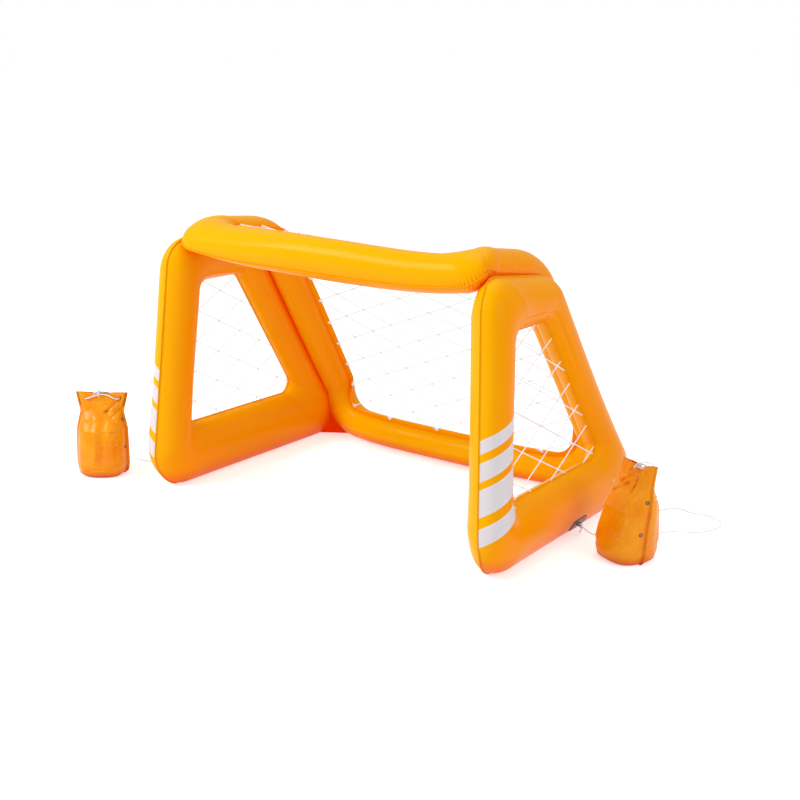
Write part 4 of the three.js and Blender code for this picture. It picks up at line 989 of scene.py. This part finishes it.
# Painted shade: where ambient occlusion finds little open sky, the film is painted dark red; an emission adds
# a painted orange-red glow, weaker and redder in the creases.
open_sky = bag_finish.node("ShaderNodeAmbientOcclusion", {"samples": 8}, {"Distance": 0.04}, 1)
crease_shade = bag_finish.node("ShaderNodeMapRange", None, {0: open_sky, 1: 0.3, 2: 0.85, 3: 1.0, 4: 0.0})
faded = bag_finish.node("ShaderNodeMapRange", None, {0: cloud, 1: 0.35, 2: 0.65})
colour = bag_finish.mix(faded, (0.86, 0.27, 0.001, 1), (0.88, 0.36, 0.001, 1))
colour = bag_finish.mix(crease_shade, colour, (0.6, 0.05, 0.004, 1))
wander = {0: bag_finish.noise(30.0, 2.0, 1), 1: (0.05, 0.05, 0.05)}
wander[2] = bag_finish.node("ShaderNodeTexCoord", output="Object")
bent_place = bag_finish.node("ShaderNodeVectorMath", {"operation": "MULTIPLY_ADD"}, wander)
edges = {"Scale": 42.0, "Vector": bent_place}
wrinkle = bag_finish.node("ShaderNodeTexVoronoi", {"feature": "DISTANCE_TO_EDGE"}, edges)
fold_height = bag_finish.node("ShaderNodeMapRange", {"clamp": True}, {0: wrinkle, 1: 0.0, 2: 0.25})
bag_material = bag_finish.surface(
    Base_Color=colour, Roughness=0.26 + cloud * 0.14,
    Emission_Color=bag_finish.mix(crease_shade, (0.1, 0.01, 0, 1), (0.08, 0, 0, 1)),
    Normal=bag_finish.bump(fold_height * 0.6 + bag_finish.noise(120.0, 4.0) * 0.5, 0.0016, 0.7),
)
sand_finish = Finish("sand", Roughness=0.95)
grains = sand_finish.noise(2600.0, 3.0)
sand_material = sand_finish.surface(
    Base_Color=sand_finish.mix(grains, (0.42, 0.31, 0.17, 1), (0.78, 0.66, 0.46, 1)),
    Normal=sand_finish.bump(grains, 0.0006),
)


def bag_stance(place):
    """How a bag stands: its turn, the way its mouth leans, and the middle of its foot."""
    angle, heading = math.radians(place["turn"]), math.radians(place["heading"])
    c, s = math.cos(angle), math.sin(angle)
    spin = np.array([[c, s, 0], [-s, c, 0], [0, 0, 1]])
    lean = place["lean"] * np.array([math.cos(heading), math.sin(heading), 0])
    return spin, lean, np.array([place["x"], place["depth"] - depth_middle, 0])


def bag_rings(place, heights, inset=0.0, folded=True):
    """Two sheets, welded flat along both sides. Each ring runs along the front sheet and back along the
    other one."""
    spin, lean, origin = bag_stance(place)
    t = np.linspace(0, np.pi, 85)[1:-1]
    c, s = np.cos(t), np.sin(t)
    seam = np.array([seam_width, seam_width * 0.9, 0.0]) * (1 if folded else 0)
    rings = []
    for height in heights:
        rows = place["left"], place["right"], bag_half_widths
        left, right, half = (np.interp(height, bag_levels, row) - inset for row in rows)
        u = np.where(c > 0, right, left) * np.sign(c) * np.abs(c) ** 0.78
        sheets = []
        for front in (True, False):
            v = half * s**0.78
            if folded:
                slack = smooth_step(height, 0.05, 0.2)
                for k in range(len(u)):
                    p = Vector((u[k] * 22 + place["seed"] + 9 * front, height * 15, 0.0))
                    v[k] -= (0.0016 + 0.0026 * slack) * (noise(p) + 0.5 * noise(p * 2.9)) * s[k]
                for u0, z0, u1, z1, depth, width in place["folds"]:
                    along, up = (u1 - u0, z1 - z0) if front else (u0 - u1, z1 - z0)
                    first = u0 if front else -u0
                    share = np.clip(((u - first) * along + (height - z0) * up) / (along**2 + up**2), 0, 1)
                    off = np.hypot(u - first - share * along, height - z0 - share * up)
                    v = v - depth * np.exp(-((off / width) ** 2))
                v = v - bag_hem_dent * np.exp(-(((height - bag_hem) / bag_hem_spread) ** 2))
                v = np.maximum(v, bag_least_depth)
            sheets.append(v)
        thin = np.full(3, seam_half_thickness)
        u = np.concatenate([right + seam, u, -left - seam[::-1], -left - seam, u[::-1], right + seam[::-1]])
        v = np.concatenate([-thin, -sheets[0], -thin, thin, sheets[1][::-1], thin])
        end = np.clip(u / 0.074, -1, 1)
        rise = np.where(end < 0, place["rise"][0], place["rise"][1]) * np.abs(end)
        dip = place["dip"] * np.exp(-(((u + 0.006) / 0.010) ** 2))
        z = height + smooth_step(height, 0.17, bag_mouth) * (rise - dip)
        rings.append(np.stack([u, v, z + 0 * u], axis=1) + lean * (height / bag_mouth) ** 2)
    return np.array(rings) @ spin + origin


eyelet_finish = Finish("eyelet", Metallic=0.9)
tarnish = eyelet_finish.noise(300.0, 4.0)
eyelet_material = eyelet_finish.surface(
    Base_Color=eyelet_finish.mix(tarnish, (0.05, 0.045, 0.04, 1), (0.22, 0.19, 0.15, 1)),
    Roughness=0.3 + tarnish * 0.3, Normal=eyelet_finish.bump(tarnish, 0.0001),
)
drawn_radius, bag_knot_radius, bag_tail_radius = 0.0021, 0.0017, 0.0016
bag_knot_size, second_bag_knot_size = 0.0048, 0.0040
# An eyelet's section, from the film over its rolled rim and down into its hole: radius and height.
eyelet_section = (
    (0.0055, 0.0), (0.0053, 0.0009), (0.0044, 0.0014), (0.0034, 0.0013), (0.0026, 0.0006), (0.0023, -0.0004),
    (0.0005, -0.0012),
)
for name, place in bag_places.items():
    body = f"anchor_bag_{name}"
    heights = np.concatenate([[0.0, 0.0015, 0.005], np.linspace(0.01, bag_mouth, 170)])
    wall = bag_rings(place, heights)
    lining = bag_rings(place, heights[-30:], bag_lining)[::-1]
    rings = np.vstack([wall, lining])
    rings[0] = rings[0] * [1, 1, 0]
    faces = grid_faces(*rings.shape[:2], False, True).tolist()
    faces.append(list(range(rings.shape[1]))[::-1])
    bag = add_piece(f"bag_film_{name}", rings.reshape(-1, 3), faces, bag_material, body)
    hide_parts(f"bag_{name}")
    fill = bag_rings(place, np.linspace(sand_low, sand_high, sand_levels), sand_inset, folded=False)
    faces = grid_faces(*fill.shape[:2], False, True).tolist()
    around = fill.shape[1]
    faces += [list(range(around))[::-1], list(range(around * (sand_levels - 1), around * sand_levels))]
    sand = add_piece(f"bag_sand_{name}", fill.reshape(-1, 3), faces, sand_material, body)
    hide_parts(f"bag_fill_{name}")

    spin, lean, origin = bag_stance(place)
    line = (np.array(place["drawn"]) + lean) @ spin + origin
    line = smooth_line(np.vstack([line[-2:], line, line[:2]]), 0.0015)
    parts = [tube(line, drawn_radius, 12, strands=3)]
    centre = (np.array([-0.010, 0, 0.2683]) + lean) @ spin + origin + np.array([0, 0, -0.003])
    second = centre + [0.003, -0.002, -0.003]
    parts += [knot(centre, bag_knot_size, bag_knot_radius, 0.3)]
    parts += [knot(second, second_bag_knot_size, bag_knot_radius, 1.6)]
    for reach, drop in ((0.013, 0.012), (-0.009, 0.010)):
        bend, cut = centre + [reach * 0.6, -0.008, 0.000], centre + [reach, -0.014, -drop]
        parts.append(tube(smooth_line([centre, bend, cut], 0.0015), bag_tail_radius, 10, strands=3))
    string = add_piece(f"bag_drawstring_cord_{name}", *joined(parts), tether_finish, body)
    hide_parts(f"bag_drawstring_{name}")

    faces = grid_faces(*wall.shape[:2], False, True).tolist()
    tree = BVHTree.FromPolygons(wall.reshape(-1, 3).tolist(), faces)
    for which in ("lower", "upper"):
        node = f"bag_eyelet_{which}_{name}"
        low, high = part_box(node)
        spot, facing, _, _ = tree.find_nearest((Vector(low) + Vector(high)) / 2)
        facing = facing if facing.dot(Vector(spot) - Vector((origin[0], origin[1], spot[2]))) > 0 else -facing
        out = np.array(facing)
        sideways = unit(np.cross([0, 0, 1.0], out))
        over = np.cross(out, sideways)
        t = np.arange(32) * 2 * np.pi / 32
        rings = []
        for radius, lift in eyelet_section:
            spokes = sideways * np.cos(t)[:, None] + over * np.sin(t)[:, None]
            rings.append(np.array(spot) + spokes * radius + out * lift)
        rings = np.array(rings)
        faces = grid_faces(*rings.shape[:2], False, True).tolist()
        eyelet = add_piece(
            f"bag_eyelet_ring_{which}_{name}", rings.reshape(-1, 3), faces, eyelet_material, body,
        )
        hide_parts(node)


# Air valves: soft hazy vinyl, one in each panel. A flange is welded in the film and takes its colour, a stem
# pushes in flush once the tube is full, and a plug cap closes it on a strap of its own.
valve_finish = Finish("valve_vinyl", Coat_Weight=0.4, Coat_Roughness=0.15, Transmission_Weight=0.25, IOR=1.45)
haze = valve_finish.noise(400.0, 3.0)
valve_material = valve_finish.surface(
    Base_Color=valve_finish.mix(haze, (0.90, 0.42, 0.03, 1), (0.93, 0.52, 0.08, 1)),
    Roughness=0.3 + haze * 0.15, Normal=valve_finish.bump(haze, 0.0001),
)
for kind in ("flange", "stem", "cap"):
    for place in ("left", "right", "rear"):
        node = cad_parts[f"valve_{kind}_{place}"]
        for slot in node.material_slots:
            slot.material = valve_material if kind != "flange" else side_finish


# Floor and light: a pale studio floor, a large soft lamp from the front left, a weaker one from the right
# and one overhead, in an even white surround.
floor_finish = Finish("floor", Roughness=0.7, Emission_Strength=0.55)
camera_ray, glossy_ray, through_ray = (
    floor_finish.node("ShaderNodeLightPath", output=kind)
    for kind in ("Is Camera Ray", "Is Glossy Ray", "Is Transmission Ray")
)
rays = {0: camera_ray + glossy_ray, 1: through_ray}
seen = floor_finish.node("ShaderNodeMath", {"operation": "ADD", "use_clamp": True}, rays)
floor_material = floor_finish.surface(
    Base_Color=(0.93, 0.93, 0.93, 1), Emission_Color=floor_finish.mix(seen, (0, 0, 0, 1), (1, 1, 1, 1)),
)
reach = 60.0
corners = [(-reach, -reach, 0), (reach, -reach, 0), (reach, reach, 0), (-reach, reach, 0)]
floor = add_piece("floor", corners, [[0, 1, 2, 3]], floor_material, None)


class Surround(Finish):
    """The even light all round, whose nodes are added like those of a material."""

    def __init__(self, name):
        world = bpy.data.worlds.new(name)
        bpy.context.scene.world = world
        world.use_nodes = True
        self.tree = world.node_tree
        self.shader = self.tree.nodes["Background"]


surround = Surround("surround")
camera_ray = surround.node("ShaderNodeLightPath", output="Is Camera Ray")
surround.feed(surround.shader.inputs["Color"], (1, 1, 1, 1))
strength = surround.node("ShaderNodeMapRange", None, {0: camera_ray, 3: 0.5, 4: 1.0})
surround.feed(surround.shader.inputs["Strength"], strength)
lamps = {
    "key": ((-2.6, -3.4, 3.2), 2.0, 140),
    "fill": ((4.0, -0.6, 2.0), 2.4, 37),
    "top": ((0.2, 0.6, 3.6), 2.4, 24),
}
lamp_target = Vector((0, 0, 0.35))
for name, (place, size, power) in lamps.items():
    lamp = bpy.data.lights.new(name, "AREA")
    lamp.size, lamp.energy = size, power
    holder = bpy.data.objects.new(name, lamp)
    holder.location = place
    holder.rotation_euler = (lamp_target - Vector(place)).to_track_quat("-Z", "Y").to_euler()
    bpy.context.scene.collection.objects.link(holder)
bpy.context.scene.view_settings.view_transform = "Standard"
